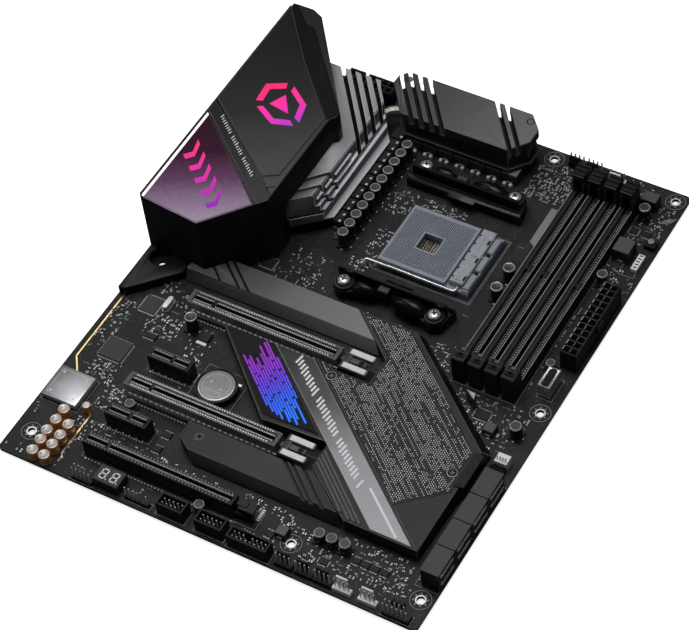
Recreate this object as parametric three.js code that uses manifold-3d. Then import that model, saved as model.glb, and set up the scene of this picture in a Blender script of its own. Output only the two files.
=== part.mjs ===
// An ATX computer motherboard as an assembly: circuit board, processor socket with its lever, memory and
// expansion slots with their latches, heatsinks, covers, ports, power and drive connectors.
// Board frame while building: X from the rear edge (ports) to the front edge, Y from the bottom edge to
// the top edge, Z up from the board's component face, in millimetres. The exported group is moved so that
// the origin is the centre of the bounding box at its base.
import * as THREE from "three";
import { mergeVertices } from "three/addons/utils/BufferGeometryUtils.js";
import Module from "manifold-3d";

const wasm = await Module();
wasm.setup();

// ---- driving dimensions -------------------------------------------------------------------------
const BOARD = { depth: 244, height: 305, thick: 1.6, corner: 3 };
const MOUNT_HOLE = { radius: 1.98, padRadius: 4.6, padRise: 0.25 };
const MOUNT_COLUMNS = [10.16, 165.1, 237.49];
const MOUNT_ROWS = [16.51, 140.97, 298.45];
const REAR_TOP_HOLE_Y = 275.59;
const TAIL_REACH = 1.9; // how far solder posts and the backplate stand below the board
const BASE_Z = -BOARD.thick - TAIL_REACH;
const SEAT = 0.2; // gap between the board's face and a part standing on it
const GAP = 0.3; // gap between neighbouring parts
const POST = { radius: 1.2, holeRadius: 1.45, sides: 8 };

const CPU = { x: 136, y: 212 };
const COOLER_HOLES = { dx: 27, dy: 45, radius: 2.1 };
const BRACKET = {
  reach: 34.5, bar: [35, 38.2], hook: { half: 8, from: 32.5, bottom: 6.5 }, bossRadius: 5.4,
  webTop: 7.4, bossTop: 8.8, top: 9.2,
};
const SOCKET = { half: 20.2, baseTop: 3.3, coverTop: 6, window: 6, travelGap: 1.3 };
const CAM_BOX = { width: 12.6, top: 7.8 };
const LEVER = { y: 189.2, z: 4, radius: 0.9, armLength: 53.5 };

const MEMORY = { firstX: 191, pitch: 9.45, count: 4, halfWidth: 3.7, top: 8.6 };
const MODULE_SPACE = { y0: 144.2, y1: 277.7, keyway: 0.8, floor: 2.2 };
const MEMORY_END = { y0: 140.5, y1: 285.5, towerTop: 18, cheekTop: 17, cheekThick: 1.35 };
const MEMORY_LATCH = { pivotY: 282, pivotZ: 5, top: 22 };

const EXPANSION = { x: 43, top: 11.2, halfWidth: 3.75, keyX: 14.2, floor: 3.2, keyway: 0.95 };
const X16 = { length: 89, rows: [122, 61.04, 20.4] };
const X1 = { length: 25, rows: [81.36, 40.7] };
const ARMOUR = { thick: 0.45, clear: 0.2, top: 11.75 };
const CARD_LATCH = { pivotX: 94.5, pivotZ: 5, padTop: 11, padHalf: 6.7, padEnd: 108 };

const SHROUD = { top: 46.5, wall: 2, bottom: 0.5 };
const SHIELD = { x0: -1.2, x1: -0.2, y0: 148, y1: 304, z0: -1.4, z1: 44 };
const PORT_FRONT = -1;

const VRM_LEFT = { x0: 30, y0: 186, y1: 288.5, top: 27, slotFloor: 16 };
const VRM_TOP = { y0: 272.5, y1: 302, top: 26, bottom: 7.8, slotFloor: 17 };
const SLOT_DIRECTION = { x: -0.62, y: 0.785 };
const SLOT_WIDTH = 2.3;
const PIPE = { radius: 2.9, z: 12, leftX: 69, topY: 286, bend: 14 };

const COVER = { top: 10, bottom: 0.8, wall: 1.5 };
const M2_TOP = 9;
const FAN = { x: 187, y: 99, radius: 16.5, hub: 8.5, z0: 2.7, z1: 7.6, blades: 9, boreRadius: 2.4 };

const SATA = { x0: 233.6, y0: 24.2, pitch: 16.9, width: 16.4, top: 13.5, count: 4 };
const CELL = { pitch: 4.2, opening: 3.4 }; // one contact cell of the power connectors

// ---- materials ----------------------------------------------------------------------------------
const material = (color, roughness, metalness) =>
  new THREE.MeshStandardMaterial({ color, roughness, metalness });
const MATTE_BLACK_BOARD = material(0x1b1c1f, 0.62, 0.1);
const BLACK_PLASTIC = material(0x17181a, 0.5, 0);
const SATIN_SHROUD = material(0x36383b, 0.42, 0.1);
const LIGHT_ALUMINIUM = material(0x8c8d91, 0.4, 0.85);
const DARK_ALUMINIUM = material(0x3b3c3e, 0.42, 0.7);
const GREY_PLATE = material(0x55565a, 0.45, 0.6);
const STEEL = material(0xb8babd, 0.3, 1);
const NICKEL = material(0xc9c5bc, 0.25, 1);
const SOCKET_PLASTIC = material(0x8b93a5, 0.55, 0);
const LIGHT_WINDOW = material(0x3a2bd0, 0.3, 0);

// ---- geometry helpers ---------------------------------------------------------------------------
function solid(geometry) {
  const bare = geometry.index ? geometry.toNonIndexed() : geometry.clone();
  for (const name of Object.keys(bare.attributes)) {
    if (name !== "position") bare.deleteAttribute(name);
  }
  const merged = mergeVertices(bare, 1e-4);
  return new wasm.Manifold(
    new wasm.Mesh({
      numProp: 3,
      vertProperties: new Float32Array(merged.attributes.position.array),
      triVerts: new Uint32Array(merged.index.array),
    }),
  );
}

function join(...parts) {
  return parts.map(asSolid).reduce((sum, part) => sum.add(part));
}

function cut(body, ...tools) {
  return tools.map(asSolid).reduce((rest, tool) => rest.subtract(tool), asSolid(body));
}

function asSolid(part) {
  return part.isBufferGeometry ? solid(part) : part;
}

function geometryOf(part) {
  if (part.isBufferGeometry) return part;
  const mesh = part.getMesh();
  const positions = new Float32Array(mesh.numVert * 3);
  for (let i = 0; i < mesh.numVert; i++) {
    const start = i * mesh.numProp;
    positions.set(mesh.vertProperties.subarray(start, start + 3), i * 3);
  }
  return new THREE.BufferGeometry()
    .setAttribute("position", new THREE.BufferAttribute(positions, 3))
    .setIndex(new THREE.BufferAttribute(new Uint32Array(mesh.triVerts), 1));
}

const board = new THREE.Group();

function place(name, part, look, parent = board) {
  const mesh = new THREE.Mesh(geometryOf(part), look);
  mesh.name = name;
  parent.add(mesh);
  return mesh;
}

function box(x0, x1, y0, y1, z0, z1) {
  return new THREE.BoxGeometry(x1 - x0, y1 - y0, z1 - z0).translate(
    (x0 + x1) / 2,
    (y0 + y1) / 2,
    (z0 + z1) / 2,
  );
}

function outline(points) {
  return new THREE.Shape(points.map(([a, b]) => new THREE.Vector2(a, b)));
}

// The corners of a regular polygon around (x, y).
function ring(x, y, radius, sides) {
  return Array.from({ length: sides }, (_, i) => {
    const angle = (2 * Math.PI * i) / sides;
    return [x + radius * Math.cos(angle), y + radius * Math.sin(angle)];
  });
}

function circlePath(x, y, radius, sides) {
  return new THREE.Path(ring(x, y, radius, sides).map(([a, b]) => new THREE.Vector2(a, b)));
}

function extrude(shape, depth) {
  return new THREE.ExtrudeGeometry(shape, { depth, bevelEnabled: false, curveSegments: 6 });
}

// A plan outline (X, Y) from z0 up to z1.
function prism(points, z0, z1, holes = []) {
  const shape = outline(points);
  shape.holes.push(...holes);
  return extrude(shape, z1 - z0).translate(0, 0, z0);
}

const AXIS_X = new THREE.Vector3(1, 0, 0);
const AXIS_Y = new THREE.Vector3(0, 1, 0);
const AXIS_Z = new THREE.Vector3(0, 0, 1);

// A profile in (X, Z) swept from y0 to y1.
function sweepY(profile, y0, y1) {
  const turn = new THREE.Matrix4().makeBasis(AXIS_X, AXIS_Z, AXIS_Y.clone().negate());
  return extrude(outline(profile), y1 - y0).applyMatrix4(turn).translate(0, y1, 0);
}

// A profile in (Y, Z) swept from x0 to x1.
function sweepX(profile, x0, x1) {
  const turn = new THREE.Matrix4().makeBasis(AXIS_Y, AXIS_Z, AXIS_X);
  return extrude(outline(profile), x1 - x0).applyMatrix4(turn).translate(x0, 0, 0);
}

function column(x, y, radius, z0, z1, sides = 16) {
  return new THREE.CylinderGeometry(radius, radius, z1 - z0, sides)
    .rotateX(Math.PI / 2)
    .translate(x, y, (z0 + z1) / 2);
}

function rodY(x, z, radius, y0, y1, sides = 12) {
  return new THREE.CylinderGeometry(radius, radius, y1 - y0, sides).translate(x, (y0 + y1) / 2, z);
}

// A closed body between two outlines of equal length, the lower at z0 and the upper at z1.
function loft(lower, upper, z0, z1) {
  const count = lower.length;
  const positions = [];
  lower.forEach(([x, y]) => positions.push(x, y, z0));
  upper.forEach(([x, y]) => positions.push(x, y, z1));
  const index = [];
  for (let i = 0; i < count; i++) {
    const next = (i + 1) % count;
    index.push(i, next, count + next, i, count + next, count + i);
  }
  const flat = (points) => points.map(([x, y]) => new THREE.Vector2(x, y));
  for (const [a, b, c] of THREE.ShapeUtils.triangulateShape(flat(lower), [])) index.push(a, c, b);
  for (const [a, b, c] of THREE.ShapeUtils.triangulateShape(flat(upper), [])) {
    index.push(count + a, count + b, count + c);
  }
  return new THREE.BufferGeometry()
    .setAttribute("position", new THREE.Float32BufferAttribute(positions, 3))
    .setIndex(index);
}

// A counterclockwise outline moved inwards by a distance along each corner's bisector.
function inset(points, distance) {
  const count = points.length;
  return points.map(([x, y], i) => {
    const [px, py] = points[(i + count - 1) % count];
    const [nx, ny] = points[(i + 1) % count];
    const before = new THREE.Vector2(x - px, y - py).normalize();
    const after = new THREE.Vector2(nx - x, ny - y).normalize();
    const normalBefore = new THREE.Vector2(-before.y, before.x);
    const normalAfter = new THREE.Vector2(-after.y, after.x);
    const bisector = normalBefore.clone().add(normalAfter).normalize();
    const reach = distance / bisector.dot(normalBefore);
    return [x + bisector.x * reach, y + bisector.y * reach];
  });
}

// Solder posts and locating pegs: every connector drops some through the board.
const postPlaces = [];

function posts(places) {
  postPlaces.push(...places);
  return places.map(([x, y]) => post(x, y));
}

function post(x, y) {
  return prism(ring(x, y, POST.radius, POST.sides), BASE_Z, SEAT + 0.3);
}

const around = (centre, half) => [centre - half, centre + half];

// ---- processor socket ---------------------------------------------------------------------------
function buildSocket() {
  const { half, baseTop, coverTop, window, travelGap } = SOCKET;
  const [x0, x1] = around(CPU.x - 0.4, half);
  const [y0, y1] = around(CPU.y - 0.4, half + 0.7);
  const camX0 = x1 + travelGap;
  const camX1 = camX0 + CAM_BOX.width;
  const pivotX = camX0 + 5.4;
  const opening = box(...around(CPU.x - 0.4, window), ...around(CPU.y - 0.4, window), -1, 20);
  const plate = box(x0, camX1, y0, y1, SEAT, baseTop);
  const camBox = join(
    box(camX0, camX1, y0, y1, SEAT, CAM_BOX.top - 2),
    rodY(pivotX, CAM_BOX.top - 3.4, 3.4, y0, y1, 16),
  );
  const bore = rodY(pivotX, LEVER.z, LEVER.radius + 0.4, y0 - 1, y1 - 2, 16);
  place("socket_base", cut(join(plate, camBox), opening, bore), SOCKET_PLASTIC);
  place(
    "socket_cover",
    cut(box(x0, x1, y0, y1, baseTop + GAP, coverTop), opening),
    SOCKET_PLASTIC,
  );
  buildLever(pivotX, y1 - 2.6);
}

// A bent steel rod: the shaft turns in the cam box, the long arm lies beside the cover.
function buildLever(pivotX, shaftEnd) {
  const { y, z, radius, armLength } = LEVER;
  const arm = new THREE.CylinderGeometry(radius, radius, armLength, 10)
    .rotateZ(Math.PI / 2)
    .translate(pivotX - armLength / 2, y, z);
  const shaft = rodY(pivotX, z, radius, y, shaftEnd, 12);
  const grip = rodY(pivotX - armLength, z, radius, y - 5, y, 10);
  const elbow = (x) => new THREE.IcosahedronGeometry(radius * 1.06, 1).translate(x, y, z);
  const rod = join(arm, shaft, grip, elbow(pivotX), elbow(pivotX - armLength));
  place("socket_lever", rod, STEEL);
}

const coolerHoles = [-1, 1].flatMap((sx) =>
  [-1, 1].map((sy) => [CPU.x + sx * COOLER_HOLES.dx, CPU.y + sy * COOLER_HOLES.dy]),
);

function buildCoolerMount() {
  const octagon = [
    [-35, -44], [-27, -52], [27, -52], [35, -44], [35, 44], [27, 52], [-27, 52], [-35, 44],
  ].map(([dx, dy]) => [CPU.x + dx, CPU.y + dy]);
  const holes = coolerHoles.map(([x, y]) => circlePath(x, y, COOLER_HOLES.radius, 12));
  const clearance = 0.15;
  place("socket_backplate", prism(octagon, BASE_Z, -BOARD.thick - clearance, holes), STEEL);
  for (const [side, name] of [[-1, "bottom"], [1, "top"]]) buildBracket(side, name);
  coolerHoles.forEach(([x, y], i) => {
    const screw = join(column(x, y, 3.6, 9.1, 11.4), column(x, y, 1.7, BASE_Z + 0.3, 9.3, 12));
    place("bracket_screw_" + (i + 1), screw, STEEL);
  });
}

// Cooler bracket: two screw bosses, a waisted web between them, an upright bar on the processor's side
// and the clip's hook in the middle. The plan is given as distances from the processor's centre.
const BRACKET_PLAN = [
  [-34.5, 38], [34.5, 38], [32.5, 48], [27, 51], [21, 49], [12, 43.5], [0, 42.2], [-12, 43.5],
  [-21, 49], [-27, 51], [-32.5, 48],
];

function buildBracket(side, name) {
  const { reach, bar, hook, bossRadius, webTop, bossTop, top } = BRACKET;
  const { dx: holeX, dy: holeY, radius } = COOLER_HOLES;
  const span = ([a, b]) => [a, b].map((d) => CPU.y + side * d).sort((p, q) => p - q);
  const web = BRACKET_PLAN.map(([dx, dy]) => [CPU.x + dx, CPU.y + side * dy]);
  const plan = side > 0 ? web : web.reverse();
  const screwColumn = (s, r, z0, z1) => column(CPU.x + s * holeX, CPU.y + side * holeY, r, z0, z1);
  const bosses = [-1, 1].map((s) => screwColumn(s, bossRadius, SEAT, bossTop));
  const bores = [-1, 1].map((s) => screwColumn(s, radius, -1, top + 1));
  const barBox = box(CPU.x - reach, CPU.x + reach, ...span(bar), SEAT, top);
  const hookBox = box(...around(CPU.x, hook.half), ...span([hook.from, bar[0]]), hook.bottom, top);
  const body = join(prism(plan, SEAT, webTop), ...bosses, barBox, hookBox);
  place("cooler_bracket_" + name, cut(body, ...bores), BLACK_PLASTIC);
}

// ---- memory slots -------------------------------------------------------------------------------
function buildMemorySlots() {
  for (let i = 0; i < MEMORY.count; i++) {
    const x = MEMORY.firstX + i * MEMORY.pitch;
    place("dimm_slot_" + (i + 1), memorySlot(x), BLACK_PLASTIC);
    place("dimm_latch_" + (i + 1), memoryLatch(x), BLACK_PLASTIC);
  }
}

function memorySlot(x) {
  const { halfWidth, top } = MEMORY;
  const { y0, y1, towerTop, cheekTop, cheekThick } = MEMORY_END;
  const space = MODULE_SPACE;
  const body = box(x - halfWidth, x + halfWidth, y0, space.y1, SEAT, top);
  const tower = box(x - halfWidth, x + halfWidth, y0, y0 + 9, SEAT, towerTop);
  const cheeks = box(x - halfWidth, x + halfWidth, space.y1 - 2, y1, SEAT, cheekTop);
  const pocketHalf = halfWidth - cheekThick;
  const pocket = box(x - pocketHalf, x + pocketHalf, space.y1 - 0.3, y1 + 1, 1.5, 30);
  const overSlot = box(x - pocketHalf, x + pocketHalf, space.y1 - 3, y1, top, 30);
  const keyway = box(x - space.keyway, x + space.keyway, space.y0, space.y1 + 1, space.floor, 30);
  const pegs = posts([[x, y0 + 3], [x, (y0 + y1) / 2], [x, y1 - 2]]);
  return join(cut(join(body, tower, cheeks), pocket, overSlot, keyway), ...pegs);
}

// The latch turns about a pin across the cheeks and swings away from the module.
function memoryLatch(x) {
  const { pivotY, top } = MEMORY_LATCH;
  const half = MEMORY.halfWidth - MEMORY_END.cheekThick - 0.3;
  const stem = box(x - half, x + half, pivotY - 3.6, pivotY + 2.6, 3, 18.5);
  const pad = box(x - 3.6, x + 3.6, pivotY - 6.2, pivotY + 3.4, 18, top - 1);
  const ribs = [-4.6, -1.4, 1.8].map((dy) =>
    box(x - 3.6, x + 3.6, pivotY + dy - 0.8, pivotY + dy + 0.8, top - 1.2, top),
  );
  return join(stem, pad, ...ribs);
}

// ---- expansion slots ----------------------------------------------------------------------------
function buildExpansionSlots() {
  X16.rows.forEach((y, i) => {
    place("pcie_x16_slot_" + (i + 1), expansionSlot(y, X16.length, true), BLACK_PLASTIC);
    if (i < 2) place("pcie_armour_" + (i + 1), slotArmour(y), NICKEL);
    place("pcie_latch_" + (i + 1), i < 2 ? wideCardLatch(y) : smallCardLatch(y), BLACK_PLASTIC);
  });
  X1.rows.forEach((y, i) => {
    place("pcie_x1_slot_" + (i + 1), expansionSlot(y, X1.length, false), BLACK_PLASTIC);
  });
}

function expansionSlot(y, length, hasLatch) {
  const { x, top, halfWidth, keyX, floor, keyway } = EXPANSION;
  const body = box(x, x + length, y - halfWidth, y + halfWidth, SEAT, top);
  const grooves = [
    box(x + 1.8, x + keyX - 0.9, y - keyway, y + keyway, floor, top + 1),
    box(x + keyX + 0.9, x + length - 1.5, y - keyway, y + keyway, floor, top + 1),
  ];
  const shape = [cut(body, ...grooves), ...posts([[x + 3, y], [x + length - 4, y]])];
  if (hasLatch) shape.push(latchSeat(y));
  return join(...shape);
}

// Two low ears past the slot's end hold the card latch's pin.
function latchSeat(y) {
  const x = EXPANSION.x + X16.length;
  const pivot = EXPANSION.x + CARD_LATCH.pivotX;
  const base = box(x - 1, pivot + 2.5, y - 3, y + 3, SEAT, 1.6);
  const ears = [-1, 1].map((s) => {
    const [a, b] = s < 0 ? [y - 3, y - 1.9] : [y + 1.9, y + 3];
    return box(x + 0.6, pivot + 2.5, a, b, SEAT, 5.2);
  });
  return join(base, ...ears);
}

function slotArmour(y) {
  const { x, halfWidth, top } = EXPANSION;
  const { thick, clear, top: lipTop } = ARMOUR;
  const inner = halfWidth + clear;
  const [x0, x1] = [x - clear, x + X16.length + clear];
  const outer = inner + thick;
  const shell = box(x0 - thick, x1 + thick, y - outer, y + outer, 1, lipTop);
  const room = box(x0, x1, y - inner, y + inner, -1, top + clear);
  const mouth = box(x + 1.5, x + X16.length - 1.2, y - 2.3, y + 2.3, 0, lipTop + 1);
  const seatRoom = box(x + X16.length - 2, x + X16.length + 3, y - 3.4, y + 3.4, -1, 5.6);
  return cut(shell, room, mouth, seatRoom);
}

// Wide two-pad latch: pressing the pads down swings the hook away from the card.
function wideCardLatch(y) {
  const { padTop, padHalf, padEnd } = CARD_LATCH;
  const x = EXPANSION.x;
  const stem = box(x + 90.6, x + 96.4, y - 1.6, y + 1.6, 2.6, padTop - 1.2);
  const bridge = box(x + 92.4, x + 96.4, y - padHalf, y + padHalf, padTop - 2, padTop - 0.3);
  const finger = box(x + 95, x + 105.5, y - 1.6, y + 1.6, padTop - 2, padTop - 0.6);
  const pads = [-1, 1].map((s) => {
    const [a, b] = s < 0 ? [y - padHalf, y - 2.5] : [y + 2.5, y + padHalf];
    return box(x + 93, x + padEnd, a, b, padTop - 1.6, padTop);
  });
  return join(stem, bridge, finger, ...pads);
}

function smallCardLatch(y) {
  const x = EXPANSION.x;
  const stem = box(x + 90.6, x + 96.4, y - 1.6, y + 1.6, 2.6, 11);
  const tab = box(x + 92, x + 101, y - 3.2, y + 3.2, 8.6, 10.4);
  return join(stem, tab);
}

// ---- rear ports and their cover -----------------------------------------------------------------
const SHROUD_PLAN = [
  [0.7, 146.4], [38.5, 141.3], [64.3, 172], [64.3, 236], [67, 238.5], [67, 242], [20.6, 302],
  [14, 305], [0.7, 305],
];

function buildShroud() {
  const { top, wall, bottom } = SHROUD;
  const outer = prism(SHROUD_PLAN, bottom, top);
  const inner = prism(inset(SHROUD_PLAN, wall), -1, top - wall);
  const rearMouth = box(-1, 4, 149, 304, -1, top - wall);
  const heatsinkRoom = box(VRM_LEFT.x0 - 2, 80, VRM_LEFT.y0 - 1, VRM_LEFT.y1 + 12, -1, VRM_LEFT.top + 1);
  const plateRoom = box(27, 70, 130, 156, -1, M2_TOP + 0.8);
  const foot = prism([[0.7, 113.5], [5, 114], [27, 137], [27, 144], [0.7, 148]], bottom, 6);
  const footRoom = prism([[2.5, 118], [5, 119.5], [24, 139], [24, 150], [2.5, 150]], -1, 4.4);
  const screwWell = column(MOUNT_COLUMNS[0], MOUNT_ROWS[1], 6, -1, 9, 20);
  const shell = cut(join(cut(outer, inner), cut(foot, footRoom)), screwWell);
  place("io_shroud", cut(shell, rearMouth, heatsinkRoom, plateRoom), SATIN_SHROUD);
}

// Ports along the rear edge, listed from the top edge down: y range, height, depth and mouths.
const usbMouth = (z) => ({ half: 6.5, z0: z, z1: z + 5.2, depth: 9, tongue: 1.8 });
const PORTS = [
  {
    name: "display_port_block", y: [283, 300.5], top: 21, depth: 16.5,
    mouths: [
      { half: 7.6, z0: 2.6, z1: 7.6, depth: 8, tongue: 1.2 },
      { half: 8, z0: 13, z1: 18.2, depth: 8, tongue: 1.2 },
    ],
  },
  { name: "usb_stack_1", y: [251, 265.5], top: 15.8, depth: 17.5, mouths: [usbMouth(1.6), usbMouth(9)] },
  { name: "usb_stack_2", y: [233.5, 248], top: 15.8, depth: 17.5, mouths: [usbMouth(1.6), usbMouth(9)] },
  {
    name: "lan_usb_stack", y: [212, 229], top: 28.6, depth: 21,
    mouths: [usbMouth(1.6), usbMouth(8.6), { half: 5.9, z0: 15.8, z1: 24.2, depth: 13 }],
  },
  { name: "usb_stack_3", y: [194.5, 209], top: 15.8, depth: 17.5, mouths: [usbMouth(1.6), usbMouth(9)] },
];
const AUDIO = { y: [151.5, 189], top: 26.5, depth: 20, rowZ: [6.6, 19.6], firstY: 158, pitch: 12.2 };

function buildPorts() {
  for (const port of PORTS) {
    const [y0, y1] = port.y;
    const centre = (y0 + y1) / 2;
    const body = box(PORT_FRONT, port.depth, y0, y1, SEAT, port.top);
    const rooms = port.mouths.map((mouth) => portRoom(centre, mouth));
    const tongues = port.mouths.filter((mouth) => mouth.tongue).map((mouth) => portTongue(centre, mouth));
    const pegs = posts([[port.depth - 3, y0 + 3], [port.depth - 3, y1 - 3]]);
    place(port.name, join(cut(body, ...rooms), ...tongues, ...pegs), NICKEL);
  }
  buildAudioJacks();
}

function portRoom(centre, { half, z0, z1, depth }) {
  return box(PORT_FRONT - 1, PORT_FRONT + depth, ...around(centre, half), z0, z1);
}

function portTongue(centre, { half, z0, z1, depth, tongue }) {
  const middle = (z0 + z1) / 2;
  const [low, high] = around(middle, tongue / 2);
  const [y0, y1] = around(centre, half - 1.2);
  return box(PORT_FRONT + 1, PORT_FRONT + depth + 1, y0, y1, low, high);
}

function jackPlaces() {
  return [0, 1, 2].flatMap((i) => AUDIO.rowZ.map((z) => [AUDIO.firstY + i * AUDIO.pitch, z]));
}

function rodX(y, z, radius, x0, x1, sides = 14) {
  return new THREE.CylinderGeometry(radius, radius, x1 - x0, sides)
    .rotateZ(Math.PI / 2)
    .translate((x0 + x1) / 2, y, z);
}

function buildAudioJacks() {
  const [y0, y1] = AUDIO.y;
  const body = box(0.4, AUDIO.depth, y0, y1, SEAT, AUDIO.top);
  const collars = jackPlaces().map(([y, z]) => rodX(y, z, 4.2, PORT_FRONT, 1));
  const bores = jackPlaces().map(([y, z]) => rodX(y, z, 1.8, PORT_FRONT - 1, 14, 12));
  const pegs = posts([[AUDIO.depth - 3, y0 + 4], [AUDIO.depth - 3, y1 - 4]]);
  place("audio_jack_block", join(cut(join(body, ...collars), ...bores), ...pegs), BLACK_PLASTIC);
}

function buildShield() {
  const { x0, x1, y0, y1, z0, z1 } = SHIELD;
  const windows = PORTS.map((port) =>
    box(x0 - 1, x1 + 1, port.y[0] - GAP, port.y[1] + GAP, SEAT - GAP, port.top + GAP),
  );
  const jackHoles = jackPlaces().map(([y, z]) => rodX(y, z, 4.6, x0 - 1, x1 + 1));
  const plate = box(x0, x1, y0, y1, z0, z1);
  place("io_shield", cut(plate, ...windows, ...jackHoles), STEEL);
}

// ---- power stage heatsinks ----------------------------------------------------------------------
// A diagonal slot seen from above: from its lower end, up and to the left.
function diagonalSlot(x, y, length, z0, z1) {
  const near = new THREE.Vector2(x, y);
  const along = new THREE.Vector2(SLOT_DIRECTION.x, SLOT_DIRECTION.y).multiplyScalar(length);
  const side = new THREE.Vector2(SLOT_DIRECTION.y, -SLOT_DIRECTION.x).multiplyScalar(SLOT_WIDTH / 2);
  const far = near.clone().add(along);
  const corners = [
    near.clone().add(side), far.clone().add(side), far.clone().sub(side), near.clone().sub(side),
  ];
  return prism(corners.map((p) => [p.x, p.y]), z0, z1);
}

const VRM_LEFT_STEPS = [
  [VRM_LEFT.x0, VRM_LEFT.top], [VRM_LEFT.x0, 9], [48, 9], [48, 2], [60, 2], [60, 7.4], [81.7, 7.4],
  [81.7, 8.9], [77.7, 8.9], [77.7, 14.4], [75.7, 14.4], [75.7, 18], [73.7, 18], [73.7, 26],
  [72.7, VRM_LEFT.top],
];

function heatPipe(radius, sides) {
  const { z, leftX, topY, bend } = PIPE;
  const route = new THREE.CurvePath();
  const start = new THREE.Vector3(leftX, 250, z);
  const bendStart = new THREE.Vector3(leftX, topY - bend, z);
  const corner = new THREE.Vector3(leftX, topY, z);
  const bendEnd = new THREE.Vector3(leftX + bend, topY, z);
  const end = new THREE.Vector3(leftX + 42, topY, z);
  route.add(new THREE.LineCurve3(start, bendStart));
  route.add(new THREE.QuadraticBezierCurve3(bendStart, corner, bendEnd));
  route.add(new THREE.LineCurve3(bendEnd, end));
  const section = new THREE.Shape(circlePath(0, 0, radius, sides).getPoints().slice(0, sides));
  return new THREE.ExtrudeGeometry(section, { steps: 20, extrudePath: route });
}

function buildVrmHeatsinks() {
  const { y0, y1, slotFloor } = VRM_LEFT;
  const pipeRoom = heatPipe(PIPE.radius + 0.35, 8);
  const lowerCorner = prism([[20, y0 - 5], [95, y0 - 5], [95, 215], [64, y0 + 2.5], [20, y0]], -1, 40);
  const upperCorner = prism([[82.2, 264], [90, 264], [90, 300], [58, 300], [66.3, y1 - 4]], -1, 40);
  const slots = [242.4, 250.4, 258.6, 267].map((y) => diagonalSlot(76.5, y, 80, slotFloor, 40));
  const left = cut(sweepY(VRM_LEFT_STEPS, y0, y1), lowerCorner, upperCorner, ...slots, pipeRoom);
  place("vrm_heatsink_left", left, LIGHT_ALUMINIUM);
  place("vrm_heatsink_top", cut(topHeatsinkBody(), ...topHeatsinkSlots(), pipeRoom), DARK_ALUMINIUM);
  place("vrm_heatpipe", heatPipe(PIPE.radius, 8), NICKEL);
}

function topHeatsinkBody() {
  const { y0, y1, top, bottom } = VRM_TOP;
  const plan = [
    [85.5, y0], [150.5, y0], [159.2, 283], [159.2, 293], [151, y1], [75, y1], [70.8, 297],
    [70.6, 291.4],
  ];
  const cap = prism(plan, top - 6, top);
  const waist = prism(inset(plan, 2), bottom + 1, top - 5);
  const lip = prism(plan, bottom, bottom + 2.4);
  return join(cap, waist, lip);
}

function topHeatsinkSlots() {
  const { y0, top, slotFloor } = VRM_TOP;
  return [91.9, 98.3, 104.6, 110.9, 152.6, 158.6].map((x) =>
    diagonalSlot(x + 2, y0 - 2.6, 60, slotFloor, top + 2),
  );
}

// ---- chipset cover, storage heatsinks, fan ------------------------------------------------------
const COVER_PLAN = [
  [67.4, 114.4], [116.9, 70], [121, 70.6], [154.8, 72.4], [154.8, 56.4], [158.8, 52.9],
  [184.5, 34.9], [225.9, 34.9], [225.9, 100.7], [160.5, 153.2], [127.2, 153.2], [154.6, 130.6],
  [154.6, 113.8], [133, 113.8], [131, 115.4],
];

function coverFoot() {
  return COVER_PLAN.map(([x, y]) => {
    if (x === 160.5) return [163, 157.2];
    if (x === 225.9 && y > 100) return [228.4, 106];
    return [x, y];
  });
}

function buildChipsetCover() {
  const { top, bottom, wall } = COVER;
  const outer = loft(coverFoot(), COVER_PLAN, bottom, top);
  const inner = prism(inset(COVER_PLAN, wall), -1, top - wall);
  place("chipset_cover", cut(outer, inner), DARK_ALUMINIUM);
  const window = [[69.6, 114.5], [115.5, 72.6], [118, 72.4], [148.4, 73.6], [97.6, 114.9]];
  place("led_light_window", prism(window, top + 0.15, top + 0.75), LIGHT_WINDOW);
  buildFan();
}

function buildFan() {
  const { x, y, hub, z0, z1 } = FAN;
  const base = box(152, 203, 74, 111, 0.4, 1.9);
  const fins = [0, 1, 2, 3].map((i) => box(153 + 3.4 * i, 154 + 3.4 * i, 80, 112, 1, 7.4));
  const spindle = column(x, y, 1.9, 1, z1 - 1.6, 12);
  place("chipset_heatsink", join(base, ...fins, spindle), DARK_ALUMINIUM);
  const bladeRoot = hub - 1;
  const blades = Array.from({ length: FAN.blades }, (_, i) => {
    const blade = new THREE.BoxGeometry(FAN.radius - bladeRoot, 1, z1 - z0 - 0.8);
    return blade
      .translate((FAN.radius + bladeRoot) / 2, 0, (z0 + z1) / 2)
      .rotateZ((2 * Math.PI * i) / FAN.blades)
      .translate(x, y, 0);
  });
  const bore = column(x, y, FAN.boreRadius, 0, z1 - 1, 12);
  const rotor = cut(join(column(x, y, hub, z0, z1, 24), ...blades), bore);
  place("chipset_fan_rotor", rotor, BLACK_PLASTIC);
}

// A storage heatsink: flat plate with a bevelled front edge, cut off diagonally at its right end.
function buildStorageHeatsinks() {
  const profile = (y0, y1) => [[y0, SEAT + 0.6], [y1, SEAT + 0.6], [y1, M2_TOP], [y0 + 2.6, M2_TOP]];
  const far = 200;
  const upperCut = prism([[147.6, 136], [far, 136], [far, 160], [118, 160]], -1, 20);
  const upperChamfer = prism([[20, 142], [28.7, 142], [36, 156], [36, 160], [20, 160]], -1, 20);
  const upper = sweepX(profile(136.4, 153.8), 28.7, 160);
  place("m2_heatsink_upper", cut(upper, upperCut, upperChamfer), GREY_PLATE);
  const lowerCut = prism([[184, 34.4], [far, 34.4], [far, 60], [148, 60]], -1, 20);
  const lowerChamfer = prism([[80, 30], [98, 30], [96.6, 34.9], [84.7, 43], [80, 44]], -1, 20);
  const lower = sweepX(profile(34.9, 53.2), 84.7, 190);
  place("m2_heatsink_lower", cut(lower, lowerCut, lowerChamfer), GREY_PLATE);
}

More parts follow.
